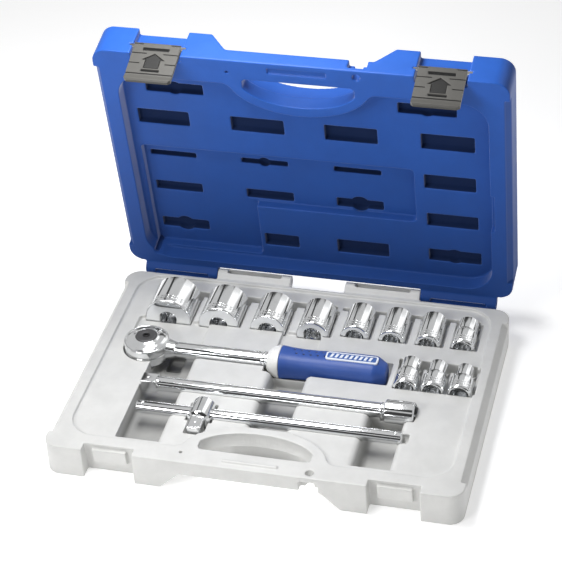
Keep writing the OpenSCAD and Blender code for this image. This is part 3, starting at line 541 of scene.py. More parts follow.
def moulded(name, node, turn, finish, settings, crisp, painted_shade_boxes):
    """Soft-edged skin of a blown shell. The welded outside of the CAD node, turned flat, is sampled on an
    even lattice, and each round moves every point halfway to the mean of its neighbours, which rounds
    edges and leaves flats alone. The distance each point moved along its normal is kept as the edge
    attribute. Points inside the crisp boxes stay nearly where they are, and each point inside a painted-shade
    box takes the box's share, fading towards the box's sides, as the deep attribute: painted shade in the
    recesses, and on the lid darker towards its hinge."""
    p, tris = welded_copy(node)
    back = np.array(turn.inverted_safe())
    fwd = np.array(turn)
    p = p @ back[:3, :3].T + back[:3, 3]
    me = bpy.data.meshes.new(name)
    me.from_pydata(p.tolist(), [], tris.tolist())
    o = bpy.data.objects.new(name, me)
    bpy.context.scene.collection.objects.link(o)
    pitch = settings.pitch * 1.0
    r = o.modifiers.new("Remesh", "REMESH")
    r.mode, r.voxel_size, r.adaptivity = "VOXEL", pitch, 0.0
    fine = evaluated(o)
    o.modifiers.clear()
    o.data = fine
    before = coords(fine)
    weight = np.ones(len(before), np.float32)
    for lo, hi in crisp:
        inside = np.all((before > np.array(lo) * MM) & (before < np.array(hi) * MM), axis=1)
        weight[inside] = 0.25
    group = o.vertex_groups.new(name="soft")
    for value in np.unique(weight):
        group.add(np.nonzero(weight == value)[0].tolist(), float(value), "REPLACE")
    s = o.modifiers.new("Smooth", "SMOOTH")
    s.factor, s.iterations, s.vertex_group = 0.5, settings.rounds, "soft"
    soft = evaluated(o)
    after = coords(soft)
    nor = np.zeros(len(after) * 3, np.float32)
    soft.vertices.foreach_get("normal", nor)
    moved = -((after - before) * nor.reshape(-1, 3)).sum(1)
    edge = np.clip(0.5 + moved / (0.7 * MM), 0, 1).astype(np.float32)
    o.modifiers.clear()
    o.data = soft
    soft.attributes.new("edge", "FLOAT", "POINT").data.foreach_set("value", edge)
    o.vertex_groups.clear()
    d = o.modifiers.new("Decimate", "DECIMATE")
    d.ratio = min(1.0, settings.triangles / max(1, 2 * len(soft.polygons)))
    light = evaluated(o)
    o.modifiers.clear()
    o.data = light
    q = coords(light)
    deep = np.zeros(len(q), np.float32)
    # painted shade: deep takes each box's share, and the finish darkens the colour by it
    for lo, hi, share, soft in painted_shade_boxes:
        depth = np.minimum(q / MM - np.array(lo), np.array(hi) - q / MM) / np.array(soft)
        deep = np.maximum(deep, share * np.clip(depth.min(1), 0, 1))
    light.attributes.new("deep", "FLOAT", "POINT").data.foreach_set("value", deep)
    q = q @ fwd[:3, :3].T + fwd[:3, 3]
    light.vertices.foreach_set("co", q.astype(np.float32).ravel())
    light.update()
    light.name = name
    light.shade_smooth()
    light.materials.clear()
    light.materials.append(FINISH[finish])
    w = o.modifiers.new("WeightedNormal", "WEIGHTED_NORMAL")
    w.mode, w.weight, w.keep_sharp = "FACE_AREA", 60, False
    return o


def slab(outline, z0, z1, ease):
    """Closed plate of a convex outline (points, 2): rings at z0, just under z1 and at z1, the last drawn
    in by the easing, each capped with a fan."""
    out = np.asarray(outline, float)
    mid = out.mean(0)
    d = out - mid
    inset = mid + d * (1 - ease / np.abs(d).max(0))
    rings = [np.c_[out, np.full(len(out), z0)], np.c_[out, np.full(len(out), z1 - ease)],
        np.c_[inset, np.full(len(out), z1)]]
    return skin(np.array(rings))


def rounded_rect(w, h, r, n=10):
    """Outline of a rectangle w by h with corners of radius r: four quarter circles."""
    t = np.linspace(0, math.pi / 2, n)
    arcs = [np.c_[np.cos(t + k * math.pi / 2), np.sin(t + k * math.pi / 2)] * r for k in range(4)]
    u, v = w / 2 - r, h / 2 - r
    mids = [(u, v), (-u, v), (-u, -v), (u, -v)]
    return np.vstack([a + np.array(c) for a, c in zip(arcs, mids)])


def middle(node):
    """Centre of a CAD node's box."""
    lo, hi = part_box(node)
    return (lo + hi) / 2


# ---------- pieces ----------


# recesses in the lid where shade is painted, mm, lid shut: left, right, front, back, radius of the round in the
# middle, and 1 in the deep part
SLOTS = [
    (-145, -92, -87, -75, 7.5, 0), (84, 136, -87, -75, 7.5, 0), (-157, -109, -53, -36, 0, 0),
    (-70, -21, -53, -36, 0, 0), (16, 64, -53, -35, 0, 0), (103, 151, -53, -35, 0, 0),
    (-155, -111, 5, 11, 0, 1), (-68, -24, 5, 11, 5.5, 1), (19, 63, 5, 11, 0, 1), (104, 151, -4, 13, 0, 0),
    (-155, -110, 44, 55, 0, 1), (-67, -22, 44, 55, 0, 1), (19, 63, 44, 55, 9, 1), (105, 152, 44, 60, 0, 0),
    (-155, -109, 92, 104, 9, 1), (-52, -19, 92, 107, 0, 0), (18, 67, 90, 107, 0, 0), (105, 154, 90, 105, 9, 0)]


def opening():
    """Turn that takes the lid from shut to its place in the frame."""
    hinge = next(j for j in frame["joints"] if j["name"] == "lid_hinge")
    pivot = Vector(hinge["pos_m"])
    angle = math.radians(hinge["range_deg"][0])
    return Matrix.Translation(pivot) @ Matrix.Rotation(angle, 4, "X") @ Matrix.Translation(-pivot)


def build_case(scene):
    """Lower shell and lid."""
    s = scene.socket_case
    lo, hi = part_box("base_shell")
    front = lo.y / MM
    crisp = [((-34, front + 5, 29), (34, front + 12, 36))]
    crisp += [((k * 126 - 8, front + 8.6, 28), (k * 126 + 8, front + 12.2, 34)) for k in (-1, 1)]
    crisp += [((-65, front + 11, 26), (-60, front + 16, 34))]
    # painted shade: the well under the ratchet's neck and the tray's channels are darkened, each box by its share
    painted_shade_boxes = [((-122, 4, -9), (-97, 44, 22), 0.8, 5), ((-137, -116, -9), (-72, 49, 23), 0.52, 9),
        ((-30, -86, -9), (35, 20, 23), 0.4, 9), ((69, -115, -9), (133, -19, 23), 0.34, 9)]
    base = moulded("lower_shell", "base_shell", Matrix.Identity(4), "shell", s, crisp, painted_shade_boxes)
    settle(base, "case", "shell_plastic", "base_shell")
    turn = opening()
    crisp = [((-27, front + 4.5, 31), (27, front + 12.5, 36)), ((-65, front + 11, 31), (-60, front + 16, 37))]
    painted_shade_boxes = []
    # painted shade: each slot of the lid, and the round in its middle, is painted nearly black
    for x0, x1, y0, y1, r, deep in SLOTS:
        floor = 55.6 if deep else 47.1
        cx, cy = (x0 + x1) / 2, (y0 + y1) / 2
        top = floor + 6.2
        painted_shade_boxes += [((x0 - 2, y0 - 2, floor), (x1 + 2, y1 + 2, top), 1.0, 0.5)]
        if r:
            painted_shade_boxes += [((cx - r - 1, cy - r - 1, floor), (cx + r + 1, cy + r + 1, top), 1.0, 0.5)]
    # painted shade: the lid darker towards its hinge, which is its bottom when open
    painted_shade_boxes += [((-240, -95, 20), (240, 400, 64.8), 0.52, (1, 205, 0.5))]
    lid = moulded("lid", "lid_shell", turn, "lid", s, crisp, painted_shade_boxes)
    lid.visible_glossy = False  # left out of mirror reflections, so that the plating stays neutral
    settle(lid, "lid", "lid_plastic", "lid_shell")
    for side in ("left", "right"):
        carried(f"hinge_pin_{side}", "steel")
        carried(f"latch_pin_{side}", "steel")


# slots and grooves of a latch plate, mm: middle across and along, half sizes, depth
LATCH_CUTS = [
    (0, -4.8, 11.8, 1.6, 2.7), (0, -28.8, 8.2, 1.25, 2.7), (0, -32.6, 40, 0.55, 0.7),
    (-17.5, 0.9, 5, 0.45, 0.6), (-15, -9.6, 7.5, 0.45, 0.7), (-17, -20.8, 5.5, 0.45, 0.7),
    (17.5, 0.9, 5, 0.45, 0.6), (15, -9.6, 7.5, 0.45, 0.7), (17, -20.8, 5.5, 0.45, 0.7)]
LATCH_SLOPE = 9  # inward slope of a plate, degrees


def build_latches(scene):
    """Latch plates. Each ring round the plate runs along the front, whose height is the flat face plus the
    lip less every groove, slot and the sunk arrow, each a soft step of its distance, and back behind."""
    lift = opening()
    for side in ("left", "right"):
        pin = Vector(next(j for j in frame["joints"] if j["name"] == f"latch_{side}_hinge")["pos_m"])
        z = np.linspace(3.2, -41.0, 190)[:, None]
        share = np.linspace(-1, 1, 170)[None]
        half = 21 - np.maximum(0, -z - 38.6) - np.maximum(0, z - 2.2)
        x = half * share
        out = 2.1 + 1.2 * np.clip((-z - 34.5) / 4.5, 0, 1) - 1.1 * np.clip((-z - 39.6) / 1.4, 0, 1)
        out = out - 1.4 * np.clip((z - 1.4) / 1.8, 0, 1) ** 2
        cut = np.zeros_like(x)
        for cx, cz, a, b, depth in LATCH_CUTS:
            gap = rounded_box(x - cx, z - cz, a, b, 0.4)
            cut = np.maximum(cut, depth * np.clip(0.5 - gap / 0.3, 0, 1))
        slope = 9.6 / 6.8
        head = np.maximum((np.abs(x) - (-9.6 - z) * slope) / 1.73, -16.4 - z)
        stem = rounded_box(x, z + 20.6, 6.6, 5.2, 0.3)
        arrow = np.minimum(head, stem)
        sunk = 0.55 * np.clip(0.5 - arrow / 0.3, 0, 1)
        rim = 0.45 * np.clip(0.5 - (np.abs(arrow) - 0.35) / 0.3, 0, 1)
        cut = np.maximum(cut, sunk + rim)
        barrel = np.sqrt(np.maximum(0, 3.2**2 - z**2)) * (z > -3.2)
        rear = np.maximum(1.1 - 0.8 * np.clip((-z - 38.8) / 2.2, 0, 1), barrel)
        back = np.linspace(1, -1, 24)[None] * half
        ring = np.concatenate([np.stack([x, cut - out, x * 0 + z], -1),
            np.stack([back, back * 0 + rear, back * 0 + z], -1)], 1)
        # painted shade: the edge value falls in the slots, grooves and sunk arrow, and the latch finish paints
        # them nearly black
        edge = np.concatenate([0.5 - 0.5 * np.clip((cut - 0.2) / 0.5, 0, 1), np.full_like(back, 0.5)], 1)
        points, faces = skin(ring)
        hook = np.array([[0.6, -37], [1.3, -38], [3.8, -35], [3.8, -33], [2.6, -32.6], [0.6, -32.6]])
        wide = np.array([-14.5, -14.2, 14.2, 14.5])[:, None]
        mid = hook.mean(0)
        grown = mid + (hook - mid) * np.array([0.85, 1, 1, 0.85])[:, None, None]
        hooked, more = skin(np.concatenate([np.broadcast_to(wide[:, None], (4, 6, 1)), grown], -1))
        faces = faces + [[v + len(points) for v in f] for f in more]
        edges = np.concatenate([edge.ravel(), np.full(2 + len(hooked), 0.5)])
        points = np.vstack([points, hooked])
        spin = Matrix.Rotation(math.radians(LATCH_SLOPE), 4, "X")
        m = np.array(Matrix.Translation(pin) @ lift.to_3x3().to_4x4() @ spin)
        p = points * MM @ m[:3, :3].T + m[:3, 3]
        plate = make_mesh(f"latch_plate_{side}", p, faces, "latch", sharp=32, edge=edges)
        plate.visible_glossy = False
        settle(plate, f"latch_{side}", "latch_plastic", f"latch_{side}")


def build_sockets(scene):
    """Sockets: one closed skin each, over the outside, into the twelve-point opening, through the
    relief bore and back along the square drive."""
    n = scene.socket_tools.segments
    nose = {14: 19.5, 13: 18.5, 12: 17.5, 10: 15.5}

    def stamped(t):
        """Rolled marks: 1, less about a hundredth wherever three sines of different pitch add up to
        more than a set level."""
        m = np.sin(41 * t) + np.sin(67 * t + 1.3) + np.sin(23 * t + 0.4)
        return 1 - 0.011 * np.clip(1.6 * (m - 0.1), 0, 1)

    outlines = (square_outline, twelve_point_outline, stamped)
    for node in sorted(k for k in frame["nodes"] if k.startswith("socket_")):
        size = int(node.split("_")[1])
        lo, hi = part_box(node)
        r = (hi.x - lo.x) / 2 / MM
        length = (hi.y - lo.y) / MM
        af = (size + 0.2) / 2
        tip = af / math.cos(math.pi / 6)
        bore = min(size / 2 - 0.5, 6)
        if size in nose:
            w = nose[size] / 2
            outer = [(0, r - 1.5), (0.9, r - 0.55), (2.2, r), (19, r), (21.2, w + 0.15), (22.5, w),
                (length - 0.9, w), (length, w - 0.9)]
            rim = min(tip + 0.3, w - 1.4)
        else:
            e = 0.9 if size > 23 else 1.3
            outer = [(0, r - e), (0.35 * e, r - 0.3 * e), (1.2 * e, r), (length - 1.2, r), (length, r - 1.1)]
            rim = tip + 0.4
        rows = [(a + b, r, float(k)) for a in (4.2, 7.4) for b, k in ((0, 0), (0.2, 1), (2.0, 1), (2.2, 0))]
        st = [(a, b, 0, 0, 0) for a, b in outer[:3]] + [(a, b, 0, 0, k) for a, b, k in rows]
        st += [(a, b, 0, 0, 0) for a, b in outer[3:]]
        st += [(length, rim, 0, 0, 0), (length - 1.3, af, 0, 1, 0), (length - 16, af, 0, 1, 0),
            (length - 16.2, bore, 0, 0, 0), (15.2, bore, 0, 0, 0), (15, 6.45, 1, 0, 0), (2.1, 6.45, 1, 0, 0),
            (0, 8.6, 0, 0, 0)]
        st = np.array(st, float)
        closed = fillet(np.vstack([st[-1:], st, st[:1]]), 0.35)[1:-1]
        origin = ((lo.x + hi.x) / 2, lo.y, (lo.z + hi.z) / 2)
        points, faces = turned(closed, outlines, "Y", origin, n, loop=True)
        settle(make_mesh(f"{node}_body", points, faces, "chrome_y"), node, "chrome", node)


def build_ratchet(scene):
    """Ratchet: head, cover, selector, neck and shaft, and the parts inside the head."""
    n = scene.socket_tools.segments
    hub = middle("ratchet_cover")
    y = hub.y
    body_lo, body_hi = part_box("ratchet_body")
    cover_lo, cover_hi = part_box("ratchet_cover")
    z0, z1 = body_lo.z / MM, body_hi.z / MM
    r = (body_hi.y - body_lo.y) / 2 / MM
    centre = (hub.x, y, 0)
    head = fillet([(z0, 0.01), (z0, r - 3.2), (z0 + 3.2, r), (z0 + 11, r), (z0 + 11.4, r - 0.5),
        (z0 + 12.2, r - 0.5), (z0 + 12.6, r), (z1 - 1.0, r), (z1, r - 1.0), (z1, 0.01)], 0.5)
    points, faces = turned(head, (), "Z", centre, n)
    settle(make_mesh("ratchet_head", points, faces, "chrome_z"), "ratchet", "chrome", "ratchet_body")
    x0, x1 = hub.x / MM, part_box("ratchet_collar")[0].x / MM
    neck = fillet([(x0 + 8, 9.2, 0.55), (x0 + r - 1.5, 8.7, 0.5), (x0 + r + 6.5, 7.1, 0.15), (x0 + r + 9, 7.5, 0),
        (x1 - 6.0, 7.5, 0), (x1 - 5.6, 6.9, 0), (x1 - 4.6, 6.9, 0), (x1 - 4.2, 8.1, 0), (x1 - 2.4, 8.1, 0),
        (x1 - 2.0, 7.3, 0), (x1 - 1.4, 7.3, 0), (x1 - 1.0, 8.4, 0), (x1 + 0.5, 8.4, 0), (x1 + 4, 6.0, 0)], 0.6)
    points, faces = turned(neck, (lambda t: square_outline(t, 5.0),), "X", (0, y, AXIS_Z), n)
    settle(make_mesh("ratchet_shaft", points, faces, "chrome_x"), "ratchet", "chrome")
    c0, c1 = cover_lo.z / MM, cover_hi.z / MM
    cr = (cover_hi.x - cover_lo.x) / 2 / MM
    ring = np.array([
        (c0, 9.7), (c0, cr - 0.2), (c0 + 0.7, cr), (c0 + 1.3, cr - 0.3), (c0 + 1.35, cr - 0.9),
        (c0 + 1.1, cr - 1.1), (c0 + 1.2, cr - 1.5), (c0 + 2.0, cr - 2.3), (c0 + 3.1, cr - 4.6),
        (c0 + 4.2, 12.4), (c1 + 0.9, 10.6), (c1 + 0.95, 9.9), (c1 - 0.2, 9.7)], float)
    ring = fillet(np.vstack([ring[-1:], ring, ring[:1]]), 0.4)[1:-1]
    points, faces = turned(ring, (), "Z", centre, n, loop=True)
    settle(make_mesh("ratchet_top", points, faces, "chrome_z"), "ratchet", "chrome", "ratchet_cover")

    def notches(t):
        """Six shallow scallops: a narrow cosine bell taken off the rim every sixth of a turn."""
        return 1 - 0.075 * np.maximum(0, np.cos(6 * t)) ** 10

    s_lo, s_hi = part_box("ratchet_selector")
    a, b = s_lo.z / MM, s_hi.z / MM
    disc = fillet([(a, 0.01, 0), (a, 9.5, 0), (b - 1.2, 9.5, 0), (b - 0.55, 9.35, 0.6),
        (b - 0.45, 8.7, 0.5), (b - 0.42, 8.3, 0), (b - 0.42, 3.55, 0), (b - 2.2, 3.5, 0),
        (b - 2.2, 0.01, 0)], 0.2)
    points, faces = turned(disc, (notches,), "Z", centre, n)
    selector = make_mesh("selector_disc", points, faces, "dark_steel")
    settle(selector, "ratchet_selector", "steel", "ratchet_selector")
    carried("ratchet_selector_screw", "black_steel", bevel=0.12)
    for node in ("ratchet_gear", "ratchet_pawl"):
        carried(node, "steel", bevel=0.08)
    for node in ("ratchet_pawl_spring", "ratchet_ball_spring", "ratchet_retaining_ring"):
        carried(node, "steel")
    carried("ratchet_ball", "chrome_z")


DIMPLES = (-20, 3)  # tilt of the two rows from the top towards the front and back, degrees


def build_grip(scene):
    """Collar, grip and label of the ratchet."""
    n = scene.socket_tools.segments
    lo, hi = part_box("ratchet_grip")
    y = (lo.y + hi.y) / 2
    r = (hi.y - lo.y) / 2 / MM
    g0, g1 = lo.x / MM, hi.x / MM
    c_lo, c_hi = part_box("ratchet_collar")
    k0, k1 = c_lo.x / MM, c_hi.x / MM

    def soft_square(t):
        """Squared circle that touches the round at its corners: a power mean of sine and cosine."""
        p = 2.7
        return (np.abs(np.cos(t)) ** p + np.abs(np.sin(t)) ** p) ** (-1 / p) / 2 ** (0.5 - 1 / p)

    collar = fillet([(k0, 0.01, 0), (k0, 9.2, 0), (k0 + 0.8, 10.7, 0), (k0 + 4, 13.0, 0.1), (k0 + 7.5, 14.6, 0.4),
        (k0 + 10.5, 15.5, 0.8), (k1, 15.5, 1), (k1, 0.01, 1)], 1.2, 5)
    points, faces = turned(collar, (soft_square,), "X", (0, y, AXIS_Z), n)
    settle(make_mesh("grip_collar", points, faces, "collar"), "ratchet", "collar_plastic", "ratchet_collar")
    length = g1 - g0
    path = np.array([(0, 0.01), (0, r - 0.5), (0.7, r), (8, r - 0.9), (20, r - 1.5), (34, r - 1.3),
        (52, r - 0.3), (66, r), (length - 11.5, r), (length - 8.8, r - 0.9), (length - 1.1, 9.8),
        (length, 8.2), (length, 0.01)])
    path = fillet(path, 1.0, 5)
    step = np.concatenate([[0], np.cumsum(np.hypot(*np.diff(path, axis=0).T))])
    even = np.linspace(0, step[-1], 300)
    x, rad = np.interp(even, step, path[:, 0]), np.interp(even, step, path[:, 1])
    th = angles(n)
    shape = rad[:, None] * soft_square(th)[None]
    arc = (th[None] + math.pi) % (2 * math.pi) - math.pi  # angle 90 degrees points up
    up = arc - math.pi / 2
    tone = np.full_like(shape, 0.5)
    for i in range(5):  # two rows of dimples: round bowls of 1.25 mm radius
        for tilt, shift in ((DIMPLES[0], 0.0), (DIMPLES[1], 2.4)):
            cx = 12.5 + 6.6 * i + shift
            d2 = ((x[:, None] - cx) ** 2 + ((up - math.radians(tilt)) * 14.2) ** 2) / 1.25**2
            shape = shape - 1.0 * np.sqrt(np.maximum(0, 1 - d2))
            # painted shade: the edge value falls in each dimple, and the grip finish darkens it there
            tone = np.minimum(tone, np.clip(0.05 + 0.45 * d2**2, 0.05, 0.5))
    seat = rounded_box(x[:, None] - 66, up * 14.2, 24.4, 5.7, 2.2)
    shape = shape - 0.35 * np.clip(0.5 - seat / 0.5, 0, 1)
    xyz = np.stack([np.broadcast_to(x[:, None], shape.shape) + g0, shape * np.cos(th)[None],
        shape * np.sin(th)[None]], -1)
    points, faces = skin(xyz * MM + np.array([0, y, AXIS_Z]))
    tone = np.append(tone.ravel(), [0.5, 0.5])
    grip = make_mesh("grip_sleeve", points, faces, "grip", sharp=50, edge=tone)
    settle(grip, "ratchet", "grip_soft", "ratchet_grip")
    l_lo, l_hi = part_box("ratchet_label")
    top = l_hi.z / MM
    cx, w, h = (l_lo.x + l_hi.x) / 2 / MM, (l_hi.x - l_lo.x) / MM, (l_hi.y - l_lo.y) / MM

    def plate(name, outline, z_low, z_high, finish, ease=0.25):
        """Plate of the label, eased round its top."""
        p, f = slab(outline, z_low, z_high, ease)
        p = p * MM + np.array([cx * MM, y, 0])
        return settle(make_mesh(name, p, f, finish), "ratchet", "label_plate")

    frame_piece = plate("label_frame", rounded_rect(w, h, 2.4), top - 1.6, top, "label_frame")
    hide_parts("ratchet_label")
    plate("label_field", rounded_rect(w - 3.2, h - 3.2, 1.3), top - 0.4, top + 0.12, "label_field", 0.1)
    bars = []
    faces = []
    for i in range(9):  # slanted ribs across the field
        x0 = -18.5 + 4.4 * i
        rib = np.array([(x0 - 1.6, -2.5), (x0 + 0.9, -2.5), (x0 + 2.3, 2.5), (x0 - 0.2, 2.5)])
        p, f = slab(rib, top, top + 0.34, 0.15)
        faces += [[v + len(bars) * len(p) for v in face] for face in f]
        bars.append(p)
    p = np.vstack(bars) * MM + np.array([cx * MM, y, 0])
    settle(make_mesh("label_ribs", p, faces, "label_frame"), "ratchet", "label_plate")


def rounded_box(u, v, a, b, r):
    """Signed distance to a rectangle of half sizes a and b with corners of radius r."""
    qu, qv = np.abs(u) - a + r, np.abs(v) - b + r
    return np.minimum(np.maximum(qu, qv), 0) + np.hypot(np.maximum(qu, 0), np.maximum(qv, 0)) - r


def build_bars(scene):
    """Extension bar, T-bar and its sliding head."""
    n = scene.socket_tools.segments
    sq = (square_outline,)
    lo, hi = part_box("extension_bar")
    x0, x1 = lo.x / MM, hi.x / MM
    y = (lo.y + hi.y) / 2
    e = (hi.y - lo.y) / 2 / MM
    bar = fillet([(x0, 0.01, 1), (x0, 5.3, 1), (x0 + 1.1, 6.32, 1), (x0 + 14.6, 6.32, 1), (x0 + 16.4, 6.75, 0),
        (x1 - 30.6, 6.75, 0), (x1 - 30, 7.45, 0), (x1 - 28.6, 7.45, 0), (x1 - 28.1, 7.1, 0), (x1 - 25.8, e, 0),
        (x1 - 1.2, e, 0), (x1, e - 1.3, 0), (x1, 8.6, 0), (x1 - 2, 6.45, 1), (x1 - 16.5, 6.45, 1),
        (x1 - 16.5, 0.01, 1)], 0.4)
    points, faces = turned(bar, sq, "X", (0, y, AXIS_Z), n)
    settle(make_mesh("extension_shank", points, faces, "chrome_x"), "extension", "chrome", "extension_bar")
    lo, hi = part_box("tbar_rod")
    x0, x1, r = lo.x / MM, hi.x / MM, (hi.y - lo.y) / 2 / MM
    y = (lo.y + hi.y) / 2
    rod = fillet([(x0, 0.01), (x0, r - 1.3), (x0 + 1.1, r), (x1 - 1.1, r), (x1, r - 1.3), (x1, 0.01)], 0.5)
    points, faces = turned(rod, (), "X", (0, y, AXIS_Z), n)
    settle(make_mesh("tbar_bar", points, faces, "chrome_x"), "tbar", "chrome", "tbar_rod")
    lo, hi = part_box("tbar_slider")
    y0, y1, r = lo.y / MM, hi.y / MM, (hi.x - lo.x) / 2 / MM
    head = fillet([(y0, 0.01, 1), (y0, 5.3, 1), (y0 + 1.1, 6.32, 1), (y0 + 15.8, 6.32, 1), (y0 + 16, r - 2.4, 0),
        (y0 + 17.8, r, 0), (y1 - 1.8, r, 0), (y1, r - 1.8, 0), (y1, 0.01, 0)], 0.5)
    points, faces = turned(head, sq, "Y", ((lo.x + hi.x) / 2, 0, AXIS_Z), n)
    settle(make_mesh("tbar_head", points, faces, "chrome_y"), "tbar_slider", "chrome", "tbar_slider")
    for node in ("extension_ball", "tbar_end_balls", "tbar_slider_balls"):
        carried(node, "chrome_z")
    for node in ("extension_ball_spring", "tbar_end_springs", "tbar_slider_springs"):
        carried(node, "steel")


# ---------- studio ----------


CAMERA_PLACE = (0.3996, -1.3964, 1.2014)  # metres
CAMERA_TURN = (15.871, 36.24, -3.375)  # azimuth, elevation and roll, degrees


def build_stage(scene):
    """Pale floor, soft lights, room light with a dark strip in front, and the camera."""
    s = scene.socket_stage
    m, t, p = blank_material("studio_floor", tuple(s.floor_colour), 0.9, Specular_IOR_Level=0.1)
    v = coordinates(t)
    cloudy = mixed(t, noise(t, v, 6.0), scaled(s.floor_colour, 0.995), tuple(s.floor_colour))
    t.links.new(cloudy, p.inputs["Base Color"])
    p.inputs["Emission Color"].default_value = (1, 1, 1, 1)
    p.inputs["Emission Strength"].default_value = s.floor_glow
    k = np.array([[-1, -1], [1, -1], [1, 1], [-1, 1]]) * 6.0
    me = bpy.data.meshes.new("floor")
    me.from_pydata([(a, b, -0.0002) for a, b in k], [], [(0, 1, 2, 3)])
    me.materials.append(m)
    floor = bpy.data.objects.new("floor", me)
    scene.collection.objects.link(floor)

    def area(name, place, aim, size, power):
        """White rectangular light at a place, aimed at a point."""
        d = bpy.data.lights.new(name, "AREA")
        d.shape, d.size, d.size_y, d.energy = "RECTANGLE", size[0], size[1], power
        o = bpy.data.objects.new(name, d)
        o.location = place
        o.rotation_mode = "QUATERNION"
        o.rotation_quaternion = (Vector(aim) - Vector(place)).to_track_quat("-Z", "Y")
        scene.collection.objects.link(o)

    area("overhead", (-0.1, 0.03, 0.63), (-0.06, 0.03, 0.0), (0.5, 0.22), s.overhead_power)
    area("side", (-0.75, -1.2, 0.95), (0, 0.1, 0.15), (0.6, 0.5), s.side_power)

    w = bpy.data.worlds.new("studio_room")
    scene.world = w
    w.use_nodes = True
    t = w.node_tree
    back = t.nodes["Background"]
    d = t.nodes.new("ShaderNodeTexCoord").outputs["Generated"]
    x = t.nodes.new("ShaderNodeSeparateXYZ")
    t.links.new(d, x.inputs[0])
    side, deep, high = x.outputs["X"], x.outputs["Y"], x.outputs["Z"]

    def band(value, low, high, soft):
        """One between low and high, falling off softly outside."""
        over = ramp(t, value, low - soft, low)
        return maths(t, "MULTIPLY", over, maths(t, "SUBTRACT", 1.0, ramp(t, value, high, high + soft)))

    front = maths(t, "MULTIPLY", band(high, 0.16, 0.58, 0.05), band(deep, -1.1, -0.45, 0.15))
    above = maths(t, "MULTIPLY", band(deep, -0.6, -0.27, 0.04), ramp(t, high, 0.72, 0.78))
    front = maths(t, "MAXIMUM", front, above)
    line = maths(t, "MULTIPLY", band(deep, 0.83, 0.9, 0.03), band(high, 0.25, 0.5, 0.05))
    front = maths(t, "MAXIMUM", front, line)
    rear = ramp(t, deep, 0.45, 0.6)
    streak = maths(t, "MULTIPLY", band(side, -0.41, -0.34, 0.03), rear)
    foot = maths(t, "MULTIPLY", band(high, -0.1, 0.10, 0.04), rear)
    dark = maths(t, "MAXIMUM", maths(t, "MAXIMUM", front, streak), foot)
    window = maths(t, "MULTIPLY", maths(t, "MULTIPLY", band(side, 0.26, 0.52, 0.08), rear), 1.3)
    dark = maths(t, "SUBTRACT", maths(t, "MULTIPLY", dark, 0.92), window)
    level = maths(t, "MULTIPLY", maths(t, "SUBTRACT", 1.0, dark), s.sky)
    path = t.nodes.new("ShaderNodeLightPath")
    seen = path.outputs["Is Camera Ray"]
    soft = maths(t, "SUBTRACT", 1.0, maths(t, "MULTIPLY", path.outputs["Is Diffuse Ray"], 0.5))
    level = maths(t, "MULTIPLY", level, soft)
    mix = t.nodes.new("ShaderNodeMix")
    t.links.new(seen, mix.inputs["Factor"])
    t.links.new(level, mix.inputs["A"])
    mix.inputs["B"].default_value = 1.0
    t.links.new(mix.outputs["Result"], back.inputs["Strength"])
    back.inputs["Color"].default_value = (1, 1, 1, 1)

    cam = bpy.data.cameras.new("camera")
    o = bpy.data.objects.new("camera", cam)
    scene.collection.objects.link(o)
    az, el, roll = (math.radians(a) for a in CAMERA_TURN)
    back = Vector((math.sin(az) * math.cos(el), -math.cos(az) * math.cos(el), math.sin(el)))
    right = Vector((math.cos(az), math.sin(az), 0))
    up = back.cross(right)
    r2 = right * math.cos(roll) + up * math.sin(roll)
    u2 = -right * math.sin(roll) + up * math.cos(roll)
    rot = Matrix((r2, u2, back)).transposed().to_4x4()
    o.matrix_world = Matrix.Translation(CAMERA_PLACE) @ rot
    cam.lens, cam.sensor_width, cam.sensor_fit = s.focal, 36.0, "HORIZONTAL"
    cam.clip_start, cam.clip_end = 0.05, 40.0
    scene.camera = o
    scene.view_settings.view_transform = "Standard"
    scene.view_settings.look = "None"


# ---------- operators and panel ----------


class SOCKETSET_OT_finishes(bpy.types.Operator):
    """Make the node groups and materials"""

    bl_idname = "socketset.finishes"
    bl_label = "Finishes"

    def execute(self, context):
        build_finishes(context.scene)
        return {"FINISHED"}


class SOCKETSET_OT_case(bpy.types.Operator):
    """Build the lower shell, the lid and their pins"""

    bl_idname = "socketset.case"
    bl_label = "Case"

    def execute(self, context):
        build_case(context.scene)
        return {"FINISHED"}


class SOCKETSET_OT_latches(bpy.types.Operator):
    """Build the two latch plates"""

    bl_idname = "socketset.latches"
    bl_label = "Latches"

    def execute(self, context):
        build_latches(context.scene)
        return {"FINISHED"}


class SOCKETSET_OT_sockets(bpy.types.Operator):
    """Build the eleven sockets"""

    bl_idname = "socketset.sockets"
    bl_label = "Sockets"

    def execute(self, context):
        build_sockets(context.scene)
        return {"FINISHED"}


class SOCKETSET_OT_ratchet(bpy.types.Operator):
    """Build the ratchet's head, shaft and selector"""

    bl_idname = "socketset.ratchet"
    bl_label = "Ratchet"

    def execute(self, context):
        build_ratchet(context.scene)
        return {"FINISHED"}


class SOCKETSET_OT_grip(bpy.types.Operator):
    """Build the ratchet's collar, grip and label"""

    bl_idname = "socketset.grip"
    bl_label = "Grip"

    def execute(self, context):
        build_grip(context.scene)
        return {"FINISHED"}


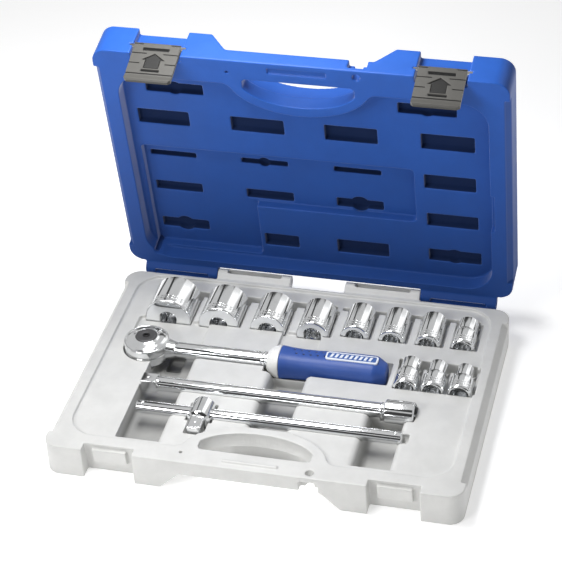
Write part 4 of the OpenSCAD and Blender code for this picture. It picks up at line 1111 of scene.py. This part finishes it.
class SOCKETSET_OT_bars(bpy.types.Operator):
    """Build the extension bar and the sliding T-bar"""

    bl_idname = "socketset.bars"
    bl_label = "Bars"

    def execute(self, context):
        build_bars(context.scene)
        return {"FINISHED"}


class SOCKETSET_OT_stage(bpy.types.Operator):
    """Build the floor, the lights and the camera"""

    bl_idname = "socketset.stage"
    bl_label = "Studio"

    def execute(self, context):
        build_stage(context.scene)
        return {"FINISHED"}


STEPS = [
    SOCKETSET_OT_finishes,
    SOCKETSET_OT_case,
    SOCKETSET_OT_latches,
    SOCKETSET_OT_sockets,
    SOCKETSET_OT_ratchet,
    SOCKETSET_OT_grip,
    SOCKETSET_OT_bars,
    SOCKETSET_OT_stage,
]


class SOCKETSET_PT_panel(bpy.types.Panel):
    """Sidebar panel with the sizes, the colours and a button for each step."""

    bl_label = "Socket Set"
    bl_idname = "SOCKETSET_PT_panel"
    bl_space_type = "VIEW_3D"
    bl_region_type = "UI"
    bl_category = "Socket Set"

    def draw(self, context):
        for group in ("socket_case", "socket_tools", "socket_stage"):
            box = self.layout.box()
            data = getattr(context.scene, group)
            for key in data.bl_rna.properties.keys():
                if key not in ("rna_type", "name"):
                    box.prop(data, key)
        for step in STEPS:
            self.layout.operator(step.bl_idname)


CLASSES = [CaseSettings, ToolSettings, StageSettings, *STEPS, SOCKETSET_PT_panel]


def register():
    """Adds the classes and the scene's settings."""
    for c in CLASSES:
        bpy.utils.register_class(c)
    bpy.types.Scene.socket_case = bpy.props.PointerProperty(type=CaseSettings)
    bpy.types.Scene.socket_tools = bpy.props.PointerProperty(type=ToolSettings)
    bpy.types.Scene.socket_stage = bpy.props.PointerProperty(type=StageSettings)


def unregister():
    """Takes them away again."""
    del bpy.types.Scene.socket_stage, bpy.types.Scene.socket_tools, bpy.types.Scene.socket_case
    for c in reversed(CLASSES):
        bpy.utils.unregister_class(c)


def main():
    """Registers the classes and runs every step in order."""
    register()
    for step in STEPS:
        name = step.bl_idname.split(".")[1]
        result = getattr(bpy.ops.socketset, name)()
        if result != {"FINISHED"}:
            raise RuntimeError(f"{name} did not finish")


if __name__ == "__main__":
    main()
